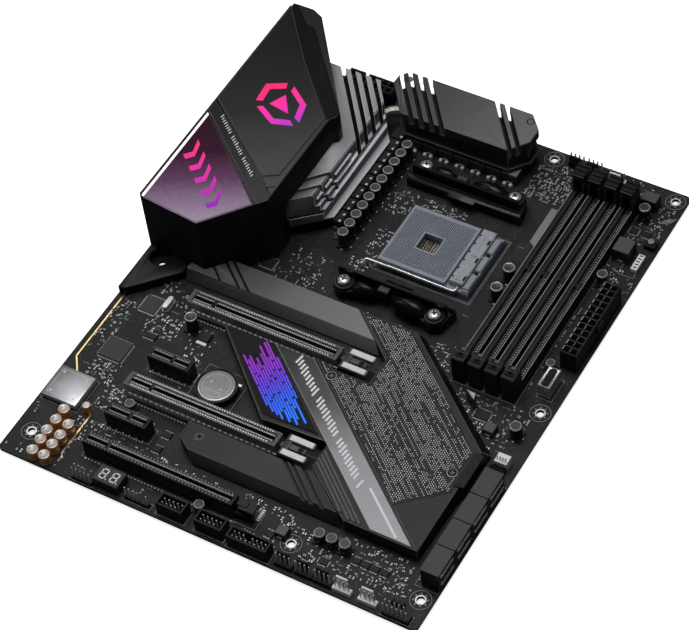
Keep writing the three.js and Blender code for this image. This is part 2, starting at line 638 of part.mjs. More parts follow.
// ---- connectors and small parts -----------------------------------------------------------------
function buildDriveSockets() {
  const { x0, y0, pitch, width, top, count } = SATA;
  for (let i = 0; i < count; i++) {
    const y = y0 + i * pitch;
    const middle = y + width / 2;
    const body = box(x0, BOARD.depth - 0.3, y, y + width, SEAT, top);
    const rooms = [1.6, 7.9].flatMap((z) => [
      box(BOARD.depth - 6.5, BOARD.depth + 1, y + 2, y + width - 2, z, z + 2.2),
      box(BOARD.depth - 6.5, BOARD.depth + 1, y + 2, y + 3.6, z + 1, z + 4),
    ]);
    const pegs = posts([[x0 + 3, middle - 4], [x0 + 3, middle + 4]]);
    place("sata_stack_" + (i + 1), join(cut(body, ...rooms), ...pegs), BLACK_PLASTIC);
  }
}

// A power connector: a block with a grid of square contact cells and a latch ledge on one side.
function powerConnector(x, y, columns, rows, height, ledge) {
  const width = columns * CELL.pitch + 1.2;
  const length = rows * CELL.pitch + 1;
  const cells = [];
  for (let i = 0; i < columns; i++) {
    for (let j = 0; j < rows; j++) {
      const cx = x + 0.6 + (i + 0.5) * CELL.pitch;
      const cy = y + 0.5 + (j + 0.5) * CELL.pitch;
      cells.push(box(...around(cx, CELL.opening / 2), ...around(cy, CELL.opening / 2), 3.2, height + 1));
    }
  }
  const body = cut(box(x, x + width, y, y + length, SEAT, height), ...cells);
  const pegs = posts([[x + width / 2, y + 2.2], [x + width / 2, y + length - 2.2]]);
  return join(body, box(...ledge(x, y, width, length)), ...pegs);
}

function buildPowerConnectors() {
  const sideLedge = (x, y, width, length) => [
    x + width - 0.2, x + width + 1, y + length / 2 - 3, y + length / 2 + 3, 7, 11.5,
  ];
  const endLedge = (x, y, width) => [x + width / 2 - 3, x + width / 2 + 3, y - 1, y + 0.2, 7, 11.5];
  place("atx_power_24pin", powerConnector(232.9, 171.6, 2, 12, 13.6, sideLedge), BLACK_PLASTIC);
  place("cpu_power_8pin", powerConnector(48.5, 292.4, 4, 2, 13.2, endLedge), BLACK_PLASTIC);
  place("cpu_power_4pin", powerConnector(36.5, 292.4, 2, 2, 13.2, endLedge), BLACK_PLASTIC);
}

function buildBattery() {
  const [x, y] = [82.6, 80.9];
  const cup = cut(column(x, y, 11.5, SEAT, 4.6, 28), column(x, y, 10.35, 0.9, 9, 28));
  const notch = box(x - 13, x - 6, y + 4.5, y + 14, 1.6, 9);
  place("battery_holder", cut(cup, notch), BLACK_PLASTIC);
  place("coin_cell", column(x, y, 10, 1.2, 4.4, 28), STEEL);
}

function buildSmallParts() {
  const usbPegs = posts([[234.6, 152.5], [234.6, 161.5]]);
  const usbShell = join(box(231.2, 238, 150.4, 163.6, SEAT, 9.2), ...usbPegs);
  const usbRoom = box(232.6, 236.6, 151.8, 162.2, 3, 12);
  place("front_usb_c_header", cut(usbShell, usbRoom), NICKEL);
  place("audio_codec_shield", box(2.6, 23.8, 37.2, 57.6, SEAT, 4), STEEL);
  const display = join(box(57.8, 72.8, 2.2, 12.4, SEAT, 6.4), ...posts([[61, 7.3], [69.6, 7.3]]));
  place("debug_display", display, BLACK_PLASTIC);
}

// ---- the board ----------------------------------------------------------------------------------
function mountHoles() {
  const places = MOUNT_COLUMNS.flatMap((x) => MOUNT_ROWS.map((y) => [x, y]));
  return places.map(([x, y]) => (x < 20 && y > 200 ? [x, REAR_TOP_HOLE_Y] : [x, y]));
}

function buildBoard() {
  const { depth, height, thick, corner } = BOARD;
  const shape = new THREE.Shape();
  const corners = [[depth, 0], [depth, height], [0, height], [0, 0]];
  shape.moveTo(corner, 0);
  corners.forEach(([x, y], i) => {
    const sx = x ? -1 : 1;
    const sy = y ? -1 : 1;
    const vertical = i % 2 === 1;
    const before = vertical ? [x, y + sy * corner] : [x + sx * corner, y];
    const after = vertical ? [x + sx * corner, y] : [x, y + sy * corner];
    shape.lineTo(...before);
    shape.quadraticCurveTo(x, y, ...after);
  });
  shape.holes.push(...mountHoles().map(([x, y]) => circlePath(x, y, MOUNT_HOLE.radius, 12)));
  shape.holes.push(...coolerHoles.map(([x, y]) => circlePath(x, y, COOLER_HOLES.radius, 12)));
  shape.holes.push(...postPlaces.map(([x, y]) => circlePath(x, y, POST.holeRadius, POST.sides)));
  const plate = extrude(shape, thick).translate(0, 0, -thick);
  const pads = mountHoles().map(([x, y]) => {
    const rim = ring(x, y, MOUNT_HOLE.padRadius, 12);
    const hole = circlePath(x, y, MOUNT_HOLE.radius, 12);
    return prism(rim, -thick - MOUNT_HOLE.padRise, -thick + 0.5, [hole]);
  });
  place("pcb", join(plate, ...pads), MATTE_BLACK_BOARD);
}

buildSocket();
buildCoolerMount();
buildMemorySlots();
buildExpansionSlots();
buildShroud();
buildPorts();
buildShield();
buildVrmHeatsinks();
buildChipsetCover();
buildStorageHeatsinks();
buildDriveSockets();
buildPowerConnectors();
buildBattery();
buildSmallParts();
buildBoard();

board.position.set(-(BOARD.depth + SHIELD.x0) / 2, -BOARD.height / 2, -BASE_Z);
const group = new THREE.Group();
group.name = "motherboard";
group.add(board);

export default group;
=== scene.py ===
"""A black desktop motherboard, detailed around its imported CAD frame.

Positions are in millimetres from the board's corner: X from the rear edge to the front edge, Y from the
bottom edge to the top edge, Z up from the component face. Piece turns them into metres in the row frame.
"""
import math
import random

import bmesh
import bpy
from mathutils import Matrix, Vector


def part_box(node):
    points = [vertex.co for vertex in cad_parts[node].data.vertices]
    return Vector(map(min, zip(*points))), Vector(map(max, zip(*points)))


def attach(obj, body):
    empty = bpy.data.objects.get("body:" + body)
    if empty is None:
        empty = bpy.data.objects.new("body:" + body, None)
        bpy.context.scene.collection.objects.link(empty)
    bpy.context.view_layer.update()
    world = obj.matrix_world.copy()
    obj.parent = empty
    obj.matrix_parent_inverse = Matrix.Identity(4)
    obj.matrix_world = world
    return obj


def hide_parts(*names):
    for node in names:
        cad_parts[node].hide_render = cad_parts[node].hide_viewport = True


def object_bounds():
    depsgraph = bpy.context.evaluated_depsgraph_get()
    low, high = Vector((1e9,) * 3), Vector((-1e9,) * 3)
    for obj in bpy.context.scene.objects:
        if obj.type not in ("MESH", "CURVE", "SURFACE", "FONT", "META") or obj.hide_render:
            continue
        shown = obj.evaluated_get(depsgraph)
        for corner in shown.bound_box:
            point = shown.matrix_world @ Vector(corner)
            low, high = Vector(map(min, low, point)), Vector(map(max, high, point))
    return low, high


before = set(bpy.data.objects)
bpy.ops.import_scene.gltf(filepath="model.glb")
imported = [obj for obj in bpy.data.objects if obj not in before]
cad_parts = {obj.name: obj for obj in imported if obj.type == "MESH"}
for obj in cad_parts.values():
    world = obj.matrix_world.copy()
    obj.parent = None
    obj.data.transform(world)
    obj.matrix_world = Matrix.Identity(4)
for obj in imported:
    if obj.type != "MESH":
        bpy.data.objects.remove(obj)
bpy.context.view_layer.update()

MM = 0.001
board_low, board_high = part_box("pcb")
CORNER = Vector((board_low.x, board_low.y, board_high.z))


def row_point(x, y, z):
    """A place of the board, in metres of the row frame."""
    return CORNER + Vector((x, y, z)) * MM


# ---- camera, floor and light ----------------------------------------------------------------------
CAMERA_PLACE = (0.49964, -0.69289, 1.03532)
CAMERA_AZIMUTH, CAMERA_ELEVATION, CAMERA_ROLL = 36.04, 50.267, -7.83
CAMERA_LENS, SENSOR_WIDTH = 134.16, 36
FLOOR_REACH = 3.0
FLOOR_GLOW = 0.8
LIGHT_TARGET = Vector((0, 0, 0.02))
# Softboxes: name, azimuth, elevation, distance, size, power.
SOFTBOXES = [
    ("overhead_softbox", 210, 84, 1.5, (1.0, 0.8), 13),
    ("rear_softbox", 236, 50, 1.4, (0.7, 0.5), 2.2),
    ("side_strip", 300, 35, 1.3, (0.3, 0.9), 1.2),
]
SKY_COLOUR, SKY_STRENGTH = (0.86, 0.9, 1, 1), 0.05


def facing(azimuth, elevation, roll=0.0):
    """Axes of a camera or light that looks at the object from that azimuth and elevation, in degrees."""
    a, e, r = (math.radians(v) for v in (azimuth, elevation, roll))
    back = Vector((math.sin(a) * math.cos(e), -math.cos(a) * math.cos(e), math.sin(e)))
    level = Vector((math.cos(a), math.sin(a), 0))
    right = level * math.cos(r) + back.cross(level) * math.sin(r)
    return Matrix((right, back.cross(right), back)).transposed().to_4x4()


def link(name, data):
    made = bpy.data.objects.new(name, data)
    bpy.context.scene.collection.objects.link(made)
    return made


def add_camera():
    data = bpy.data.cameras.new("camera")
    data.lens = CAMERA_LENS
    data.sensor_width = SENSOR_WIDTH
    data.clip_start = 0.05
    camera = link("camera", data)
    turn = facing(CAMERA_AZIMUTH, CAMERA_ELEVATION, CAMERA_ROLL)
    camera.matrix_world = Matrix.Translation(CAMERA_PLACE) @ turn
    bpy.context.scene.camera = camera


def add_lights():
    for name, azimuth, elevation, distance, size, power in SOFTBOXES:
        data = bpy.data.lights.new(name, "AREA")
        data.shape = "RECTANGLE"
        data.size, data.size_y = size
        data.energy = power
        turn = facing(azimuth, elevation)
        place = LIGHT_TARGET + turn.to_3x3().col[2] * distance
        link(name, data).matrix_world = Matrix.Translation(place) @ turn
    world = bpy.data.worlds.new("studio")
    world.use_nodes = True
    background = world.node_tree.nodes["Background"]
    background.inputs["Color"].default_value = SKY_COLOUR
    background.inputs["Strength"].default_value = SKY_STRENGTH
    bpy.context.scene.world = world
    bpy.context.scene.view_settings.view_transform = "Standard"


def add_floor():
    """A plain pale floor under the solder posts."""
    material = surface("pale_floor", (0.9, 0.9, 0.9), 0.75, grain=0.05, grain_mm=3, mottle=0.01,
                       mottle_mm=200)
    shine = material.node_tree.nodes["Principled BSDF"].inputs
    shine["Emission Color"].default_value = (1, 1, 1, 1)
    shine["Emission Strength"].default_value = FLOOR_GLOW
    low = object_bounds()[0][2]
    mesh = bpy.data.meshes.new("floor")
    corners = [(x, y, low) for x, y in rectangle(-FLOOR_REACH, FLOOR_REACH, -FLOOR_REACH, FLOOR_REACH)]
    mesh.from_pydata(corners, [], [(0, 1, 2, 3)])
    mesh.materials.append(material)
    floor = link("floor", mesh)
    floor.visible_diffuse = floor.visible_glossy = False


# ---- materials --------------------------------------------------------------------------------------
NOISE_LOW, NOISE_HIGH = 0.3, 0.7  # nearly all of a noise texture's values lie between these
BLACK_SPECULAR, PALE_SPECULAR = 0.2, 0.35


class Shader:
    """A Principled material whose nodes are added one call at a time."""

    def __init__(self, name, roughness, metallic, specular):
        self.material = bpy.data.materials.new(name)
        self.material.use_nodes = True
        self.tree = self.material.node_tree
        self.out = self.tree.nodes["Principled BSDF"]
        self.out.inputs["Roughness"].default_value = roughness
        self.out.inputs["Metallic"].default_value = metallic
        self.out.inputs["Specular IOR Level"].default_value = specular
        self.place = self.add("ShaderNodeTexCoord").outputs["Object"]

    def add(self, kind, links=(), **values):
        node = self.tree.nodes.new(kind)
        for key, value in values.items():
            setattr(node, key, value)
        for socket, source in dict(links).items():
            self.feed(node.inputs[socket], source)
        return node

    def feed(self, socket, source):
        if isinstance(source, bpy.types.NodeSocket):
            self.tree.links.new(source, socket)
        else:
            socket.default_value = source

    def colour(self, source):
        self.feed(self.out.inputs["Base Color"], source)

    def math(self, operation, a, b=0.5, c=0.0):
        return self.add("ShaderNodeMath", {0: a, 1: b, 2: c}, operation=operation).outputs[0]

    def spread(self, value, low, high, from_low=0.0, from_high=1.0):
        links = {"Value": value, "From Min": from_low, "From Max": from_high, "To Min": low, "To Max": high}
        return self.add("ShaderNodeMapRange", links).outputs[0]

    def noise(self, size_mm, detail=2.0, vector=None):
        links = {"Vector": vector or self.place, "Scale": 1 / (size_mm * MM), "Detail": detail}
        return self.add("ShaderNodeTexNoise", links).outputs["Fac"]

    def cells(self, size_mm, **values):
        links = {"Vector": self.place, "Scale": 1 / (size_mm * MM)}
        return self.add("ShaderNodeTexVoronoi", links, **values).outputs

    def blend(self, share, low, high):
        return self.add("ShaderNodeMix", {0: share, 6: low, 7: high}, data_type="RGBA").outputs[2]

    def gloss(self, roughness, spread, size_mm, vector=None):
        """Roughness that wanders by a spread to both sides."""
        cloud = self.noise(size_mm, 3.0, vector)
        uneven = self.spread(cloud, roughness - spread, roughness + spread, NOISE_LOW, NOISE_HIGH)
        self.feed(self.out.inputs["Roughness"], uneven)

    def bump(self, height, strength, distance_mm=0.06):
        links = {"Height": height, "Strength": strength, "Distance": distance_mm * MM}
        self.feed(self.out.inputs["Normal"], self.add("ShaderNodeBump", links).outputs[0])

    def run_of_colour(self, stops, low, high, cloud, blur):
        """Colour stops along the line from one place of the board to another, blurred by a cloud."""
        a, b = row_point(*low), row_point(*high)
        direction = (b - a) / (b - a).length_squared
        links = {0: self.place, 1: tuple(direction)}
        travelled = self.add("ShaderNodeVectorMath", links, operation="DOT_PRODUCT").outputs["Value"]
        share = self.math("SUBTRACT", travelled, a.dot(direction))
        drift = self.math("MULTIPLY_ADD", cloud, blur, -blur / 2)
        node = self.add("ShaderNodeValToRGB", {"Fac": self.math("ADD", share, drift)})
        elements = node.color_ramp.elements
        while len(elements) < len(stops):
            elements.new(0.5)
        for element, (at, rgb) in zip(elements, stops):
            element.position = at
            element.color = (*rgb, 1)
        return node.outputs[0]


def tone(rgb, factor=1.0):
    return tuple(min(1.0, c * factor) for c in rgb) + (1,)


def surface(name, rgb, roughness, metallic=0.0, grain=0.25, grain_mm=0.35, mottle=0.16, mottle_mm=9.0,
            stretch=(1, 1, 1)):
    """Moulded, painted or anodised finish: slow tone drift, uneven gloss and a fine grain."""
    s = Shader(name, roughness, metallic, BLACK_SPECULAR if max(rgb) < 0.03 else PALE_SPECULAR)
    vector = s.add("ShaderNodeMapping", {"Vector": s.place, "Scale": stretch}).outputs[0]
    s.colour(s.blend(s.noise(mottle_mm, 3.0, vector), tone(rgb, 1 - mottle), tone(rgb, 1 + mottle)))
    s.gloss(roughness, 0.06, grain_mm * 6, vector)
    s.bump(s.noise(grain_mm, 2.0, vector), grain)
    return s.material


def brushed(name, rgb, roughness, metallic):
    return surface(name, rgb, roughness, metallic, grain=0.18, grain_mm=0.5, mottle=0.1, mottle_mm=3.0,
                   stretch=(0.05, 1, 1))


def lit(name, stops, low, high, strength, base=(0.02, 0.01, 0.03), sheen=0.2):
    """A glowing surface whose colour runs through the stops from the point low to the point high."""
    s = Shader(name, 0.35, 0.0, sheen)
    s.colour(tone(base))
    s.feed(s.out.inputs["Emission Color"], s.run_of_colour(stops, low, high, s.noise(2.5), 0.12))
    s.out.inputs["Emission Strength"].default_value = strength
    return s.material


def graded(name, greys, low, high, roughness, metallic=0.2, grain=0.2):
    """An anodised grey that runs through the stops from the point low to the point high: the run is a painted
    sheen.
    """
    s = Shader(name, roughness, metallic, BLACK_SPECULAR)
    stops = [(at, (grey * 0.985, grey * 0.99, grey * 1.03)) for at, grey in greys]
    colour = s.run_of_colour(stops, low, high, s.noise(14, 3.0), 0.16)
    speck = s.spread(s.noise(0.33), 0.88, 1.12, NOISE_LOW, NOISE_HIGH)
    s.colour(s.add("ShaderNodeVectorMath", {0: colour, "Scale": speck}, operation="SCALE").outputs[0])
    s.gloss(roughness, 0.05, 2.0)
    s.bump(s.noise(0.22), grain)
    return s.material


TRACE_PITCH, VIA_PITCH, TRACE_ZONE = 0.95, 2.6, 26


def circuit_mask():
    """Matt black solder mask over bundles of fine traces, with scattered via dots."""
    s = Shader("black_solder_mask", 0.5, 0.0, 0.25)
    cells = s.cells(TRACE_ZONE, distance="CHEBYCHEV")
    pick = s.add("ShaderNodeSeparateColor", {"Color": cells["Color"]}).outputs
    split = s.add("ShaderNodeSeparateXYZ", {"Vector": s.place}).outputs
    straight = s.blend(s.math("GREATER_THAN", pick[0], 0.5), split[0], split[1])
    rising, falling = (s.math(operation, split[0], split[1]) for operation in ("ADD", "SUBTRACT"))
    slanted = s.blend(s.math("GREATER_THAN", pick[1], 0.5), rising, falling)
    travel = s.blend(s.math("GREATER_THAN", pick[2], 0.45), straight, slanted)
    wave = s.math("SINE", s.math("MULTIPLY", travel, 2 * math.pi / (TRACE_PITCH * MM)))
    zone = s.math("GREATER_THAN", s.noise(15), 0.54)
    trace = s.math("MULTIPLY", s.math("GREATER_THAN", wave, 0.55), zone)
    dot = s.math("LESS_THAN", s.cells(VIA_PITCH)["Distance"], 0.13)
    mask = s.blend(s.noise(30, 3.0), (0.0085, 0.0088, 0.0095, 1), (0.0125, 0.0128, 0.014, 1))
    traced = s.blend(s.math("MULTIPLY", trace, 0.55), mask, (0.05, 0.051, 0.055, 1))
    s.colour(s.blend(s.math("MULTIPLY", dot, 0.35), traced, (0.2, 0.2, 0.205, 1)))
    s.feed(s.out.inputs["Roughness"], s.spread(s.noise(8, 3.0), 0.44, 0.56))
    s.bump(s.math("ADD", trace, s.math("MULTIPLY", dot, 1.5)), 0.35, 0.05)
    return s.material


MASK = circuit_mask()
PRINT = surface("white_legend_ink", (0.85, 0.86, 0.87), 0.6, grain=0.4, grain_mm=0.25, mottle=0.12,
                mottle_mm=1.5)
DULL_PRINT = surface("grey_legend_ink", (0.3, 0.305, 0.315), 0.6, grain=0.4, grain_mm=0.25, mottle=0.4,
                     mottle_mm=1.5)
BLACK = surface("black_moulded_nylon", (0.0095, 0.0097, 0.0105), 0.42, grain=0.3, mottle=0.25)
BLACK_SATIN = surface("black_satin_plastic", (0.013, 0.0132, 0.0142), 0.3, grain=0.12, mottle=0.2)
# Deeper than black, for grooves, recesses, floors between ribs and the left-hand memory contacts: painted
# shadow.
SHADOW_BLACK = surface("black_shadow_plastic", (0.0035, 0.0035, 0.004), 0.6, grain=0.2, mottle=0.3)
# Paler grey on the bevelled edges of black mouldings and coils: a painted highlight; also the plain dark grey
# of the storage plate screws and a few small parts.
EDGE_GREY = surface("rubbed_black_edge", (0.04, 0.041, 0.043), 0.36, grain=0.2, mottle=0.35, mottle_mm=2.5)
# Pale line along each memory slot's outer edge: painted highlight.
MEMORY_LINE = surface("slot_line_painted_highlight", (0.5, 0.503, 0.51), 0.34, grain=0.15, mottle=0.4, mottle_mm=5)
# Rear cover plates and band (the band also on the rear shield): grey runs that are a painted sheen.
SHROUD_PLATE = graded("shroud_plate_painted_sheen", [(0.0, 0.008), (0.45, 0.02), (0.8, 0.05), (1.0, 0.065)],
                      (4, 262, 46), (62, 196, 46), 0.36)
SHROUD_BAND = graded("shroud_band_painted_sheen", [(0.0, 0.009), (0.6, 0.022), (1.0, 0.042)], (2, 216, 46),
                     (62, 170, 46), 0.38)
SHROUD_WALL = surface("shroud_black_wall", (0.0065, 0.0066, 0.0072), 0.4, grain=0.2, mottle=0.3)
# Light heatsink: a painted sheen across its top, a painted highlight on its edges and terraces (also on the
# chipset band's edges), and darker risers as painted shade.
LIGHT_METAL = graded("light_aluminium_painted_sheen", [(0.0, 0.03), (0.45, 0.1), (1.0, 0.44)], (44, 206, 27),
                     (79, 228, 27), 0.42, 0.3, 0.35)
LIGHT_EDGE = graded("light_aluminium_painted_highlight", [(0.0, 0.45), (1.0, 0.9)], (30, 190, 27), (90, 240, 10), 0.34,
                    0.2)
LIGHT_RISER = surface("shaded_light_aluminium", (0.11, 0.111, 0.116), 0.45, 0.3, grain=0.3, mottle=0.15)
# Top heatsink (also the chipset fan's base): a grey run that is a painted sheen, lighter towards the front
# end.
DARK_METAL = graded("dark_aluminium_painted_sheen", [(0.0, 0.06), (0.45, 0.105), (1.0, 0.19)], (72, 300, 26),
                    (152, 280, 26), 0.38, 0.3, 0.3)
# Paler grey on the bevelled edges of plates, heatsinks, shield and sockets: a painted highlight; also the
# plain grey of some screw parts and a printed ring.
DARK_EDGE = surface("cut_dark_aluminium", (0.19, 0.192, 0.2), 0.34, 0.4, grain=0.2, mottle=0.2)
# Storage plate, chipset cover and band: each grey run is a painted sheen; the dark plate also stands as
# painted shade on the top heatsink's lower and side faces.
PLATE_METAL = graded("grey_plate_painted_sheen", [(0.0, 0.065), (0.4, 0.125), (1.0, 0.22)], (30, 146, 9),
                     (142, 144, 9), 0.4, 0.3)
PLATE_DARK = graded("dark_plate_sheen_and_shade", [(0.0, 0.02), (1.0, 0.036)], (100, 40, 9), (226, 60, 9), 0.42, 0.3)
BAND_METAL = graded("band_painted_sheen", [(0.0, 0.03), (0.3, 0.085), (0.6, 0.32), (1.0, 0.38)], (104, 114, 10),
                    (212, 36, 10), 0.36, 0.3, 0.25)
PANEL_DARK = surface("dotted_panel_ground", (0.016, 0.0162, 0.0175), 0.45, 0.2, grain=0.2, mottle=0.15)
DOT_BRIGHT = surface("bright_raised_dot", (0.66, 0.662, 0.67), 0.4, 0.1, grain=0.1, mottle=0.4, mottle_mm=5)
DOT_DIM = surface("dim_raised_dot", (0.09, 0.091, 0.095), 0.4, 0.1, grain=0.1, mottle=0.4, mottle_mm=4)
STEEL = surface("bright_steel", (0.62, 0.625, 0.635), 0.28, 0.75, grain=0.18, grain_mm=0.4, mottle=0.15,
                mottle_mm=3)
NICKEL = surface("nickel_plate", (0.42, 0.417, 0.41), 0.32, 0.7, grain=0.18, grain_mm=0.4, mottle=0.2,
                 mottle_mm=3)
TIN = surface("tinned_metal", (0.75, 0.755, 0.76), 0.3, 0.35, grain=0.25, grain_mm=0.2, mottle=0.3,
              mottle_mm=1.2)
DIM_TIN = surface("dull_tinned_metal", (0.32, 0.322, 0.33), 0.34, 0.4, grain=0.25, grain_mm=0.2, mottle=0.45,
                  mottle_mm=1.0)
GOLD = surface("gold_plate", (0.75, 0.55, 0.26), 0.3, 1.0, grain=0.2, mottle=0.2, mottle_mm=2)
CONTACT = surface("pale_contact_metal", (0.5, 0.49, 0.46), 0.35, 0.4, grain=0.2, mottle=0.35, mottle_mm=1.5)
COPPER_SLEEVE = surface("copper_gold_sleeve", (0.92, 0.5, 0.17), 0.28, 0.5, grain=0.15, mottle=0.12,
                        mottle_mm=3)
CAN_TOP = surface("bare_can_top", (0.55, 0.5, 0.46), 0.34, 0.4, grain=0.2, mottle=0.2, mottle_mm=2)
CAN_BLACK = surface("black_can_sleeve", (0.022, 0.022, 0.0235), 0.26, 0.35, grain=0.15, mottle=0.2,
                    mottle_mm=2)
CAN_GREY = surface("grey_can_top", (0.055, 0.0555, 0.058), 0.36, 0.2, grain=0.25, mottle=0.2, mottle_mm=2)
# Pale rim at the top of each black can: its bare metal shoulder, made paler as a painted highlight.
CAN_RIM = surface("can_rim", (0.6, 0.6, 0.61), 0.28, 0.4, grain=0.15, mottle=0.4, mottle_mm=2)
COIL = surface("pressed_powder_coil", (0.022, 0.022, 0.0235), 0.5, 0.1, grain=0.5, grain_mm=0.2, mottle=0.25,
               mottle_mm=3)
COIL_TOP = surface("coil_top", (0.08, 0.081, 0.085), 0.45, 0.2, grain=0.5, grain_mm=0.2, mottle=0.2,
                   mottle_mm=3)
CHIP = surface("epoxy_chip", (0.017, 0.017, 0.018), 0.5, grain=0.45, grain_mm=0.15, mottle=0.2, mottle_mm=2)
CHIP_GREY = surface("grey_epoxy_chip", (0.03, 0.0303, 0.032), 0.46, grain=0.4, grain_mm=0.15, mottle=0.2,
                    mottle_mm=2)
CERAMIC = surface("brown_ceramic", (0.16, 0.115, 0.08), 0.5, grain=0.3, mottle=0.3, mottle_mm=1)
SOCKET_BLUE = surface("blue_grey_polymer", (0.27, 0.295, 0.345), 0.42, 0.1, grain=0.3, grain_mm=0.2,
                      mottle=0.14, mottle_mm=8)
SOCKET_PALE = surface("pale_cam_polymer", (0.34, 0.355, 0.385), 0.42, 0.2, grain=0.45, grain_mm=0.3,
                      mottle=0.3, mottle_mm=2)
# Near-black in pin holes, slots, engraved marks and screw crosses, painted shade in these recesses; also the
# plain black of the chipset cover's screw heads.
PIN_DARK = surface("pin_hole_shadow", (0.006, 0.0065, 0.009), 0.7, grain=0.1, mottle=0.3)
WHITE = surface("white_moulded_nylon", (0.85, 0.85, 0.84), 0.4, grain=0.15, mottle=0.08, mottle_mm=3)
IVORY = surface("pale_latch_pad", (0.72, 0.7, 0.66), 0.36, 0.1, grain=0.2, mottle=0.16, mottle_mm=3)
GREY_TAB = surface("grey_latch_tab", (0.22, 0.222, 0.228), 0.42, grain=0.2, mottle=0.15, mottle_mm=3)
# Codec shield: a grey run that is a painted sheen, lighter towards the front end.
SHIELD_TOP = graded("codec_can_painted_sheen", [(0.0, 0.28), (0.5, 0.42), (1.0, 0.62)], (3, 50, 4), (24, 46, 4), 0.34,
                    0.4, 0.15)
CELL_TOP = surface("stamped_cell_can", (0.22, 0.222, 0.23), 0.4, 0.5, grain=0.6, grain_mm=0.5, mottle=0.2,
                   mottle_mm=4)
# The mirror panel's glow, dark maroon running to pale pink, is a painted reflection.
MIRROR = lit("mirror_panel_painted_reflection", [(0.0, (0.025, 0.001, 0.009)), (0.35, (0.045, 0.004, 0.025)),
                                     (0.62, (0.16, 0.065, 0.15)), (1.0, (0.5, 0.38, 0.55))], (6, 208, 46),
             (38, 146, 46), 0.6, (0.006, 0.002, 0.005), 0.08)
# Lower storage plate: a grey run that is a painted sheen, lightest across its middle.
LOWER_PLATE = graded("lower_plate_painted_sheen", [(0.0, 0.03), (0.5, 0.046), (1.0, 0.024)], (86, 44, 9),
                     (184, 44, 9), 0.42, 0.3)
# Paler grey for the tops of the drive sockets: painted sheen.
SOCKET_GREY = surface("drive_socket_nylon", (0.05, 0.0505, 0.053), 0.5, grain=0.3, mottle=0.15, mottle_mm=12)
BRACKET_BLACK = surface("glossy_black_bracket", (0.004, 0.004, 0.0045), 0.26, grain=0.15, mottle=0.3)
# Less dark edges on the glossy brackets: painted highlight.
BRACKET_EDGE = surface("glossy_bracket_edge", (0.02, 0.0202, 0.0215), 0.24, grain=0.1, mottle=0.4,
                       mottle_mm=6)
GLYPH = lit("lit_slanted_bars", [(0.0, (1.0, 0.02, 0.12)), (0.45, (0.8, 0.01, 0.4)),
                                 (1.0, (0.18, 0.01, 0.45))], (8, 192, 46), (46, 156, 46), 0.95)
EMBLEM = lit("lit_emblem", [(0.0, (1.0, 0.01, 0.08)), (0.5, (1.0, 0.02, 0.35)), (1.0, (0.35, 0.03, 0.6))],
             (20, 244, 46), (50, 222, 46), 1.0)
STRIP_LIGHT = lit("white_light_strip", [(0.0, (1.0, 0.85, 0.92)), (1.0, (1.0, 0.9, 1.0))], (2, 210, 46),
                  (2, 145, 46), 1.3, (0.6, 0.5, 0.6))
STREAK = lit("lit_rib_streak", [(0.0, (0.27, 0.012, 0.32)), (0.35, (0.2, 0.02, 0.5)),
                                (0.55, (0.08, 0.04, 0.65)), (0.7, (0.02, 0.09, 0.75)),
                                (1.0, (0.008, 0.17, 0.9))], (86, 112, 10), (134, 78, 10), 1.2)
DIGIT = lit("display_segments", [(0.0, (0.5, 0.5, 0.5)), (1.0, (0.6, 0.6, 0.6))], (58, 4, 6), (72, 12, 6),
            0.5, (0.5, 0.5, 0.5))


# ---- mesh building ----------------------------------------------------------------------------------
SHARP_ANGLE = math.radians(32)
FLAT_ANGLE = math.radians(1)
WELD = 0.003  # corners nearer than this, in mm, are one corner


def strip_plan(a, b, half):
    """The outline of a straight strip between two points of the plan."""
    run = (Vector(b) - Vector(a)).normalized() * half
    side = Vector((run.y, -run.x))
    return [tuple(c) for c in (Vector(a) + side, Vector(b) + side, Vector(b) - side, Vector(a) - side)]


def inset(points, distance):
    """A counterclockwise outline moved inwards by a distance."""
    moved = []
    for i, (x, y) in enumerate(points):
        (px, py), (nx, ny) = points[i - 1], points[(i + 1) % len(points)]
        before = Vector((x - px, y - py)).normalized()
        after = Vector((nx - x, ny - y)).normalized()
        normals = Vector((-before.y, before.x)), Vector((-after.y, after.x))
        bisector = (normals[0] + normals[1]).normalized()
        reach = distance / max(0.3, bisector.dot(normals[0]))
        moved.append((x + bisector.x * reach, y + bisector.y * reach))
    return moved


def rectangle(x0, x1, y0, y1):
    return [(x0, y0), (x1, y0), (x1, y1), (x0, y1)]


def square(x, y, half):
    return rectangle(x - half, x + half, y - half, y + half)


def row(first, step, count):
    """Places in a row, a step apart."""
    return [first + step * k for k in range(count)]


def circle(x, y, radius, sides):
    turn = 2 * math.pi / sides
    return [(x + radius * math.cos(i * turn), y + radius * math.sin(i * turn)) for i in range(sides)]


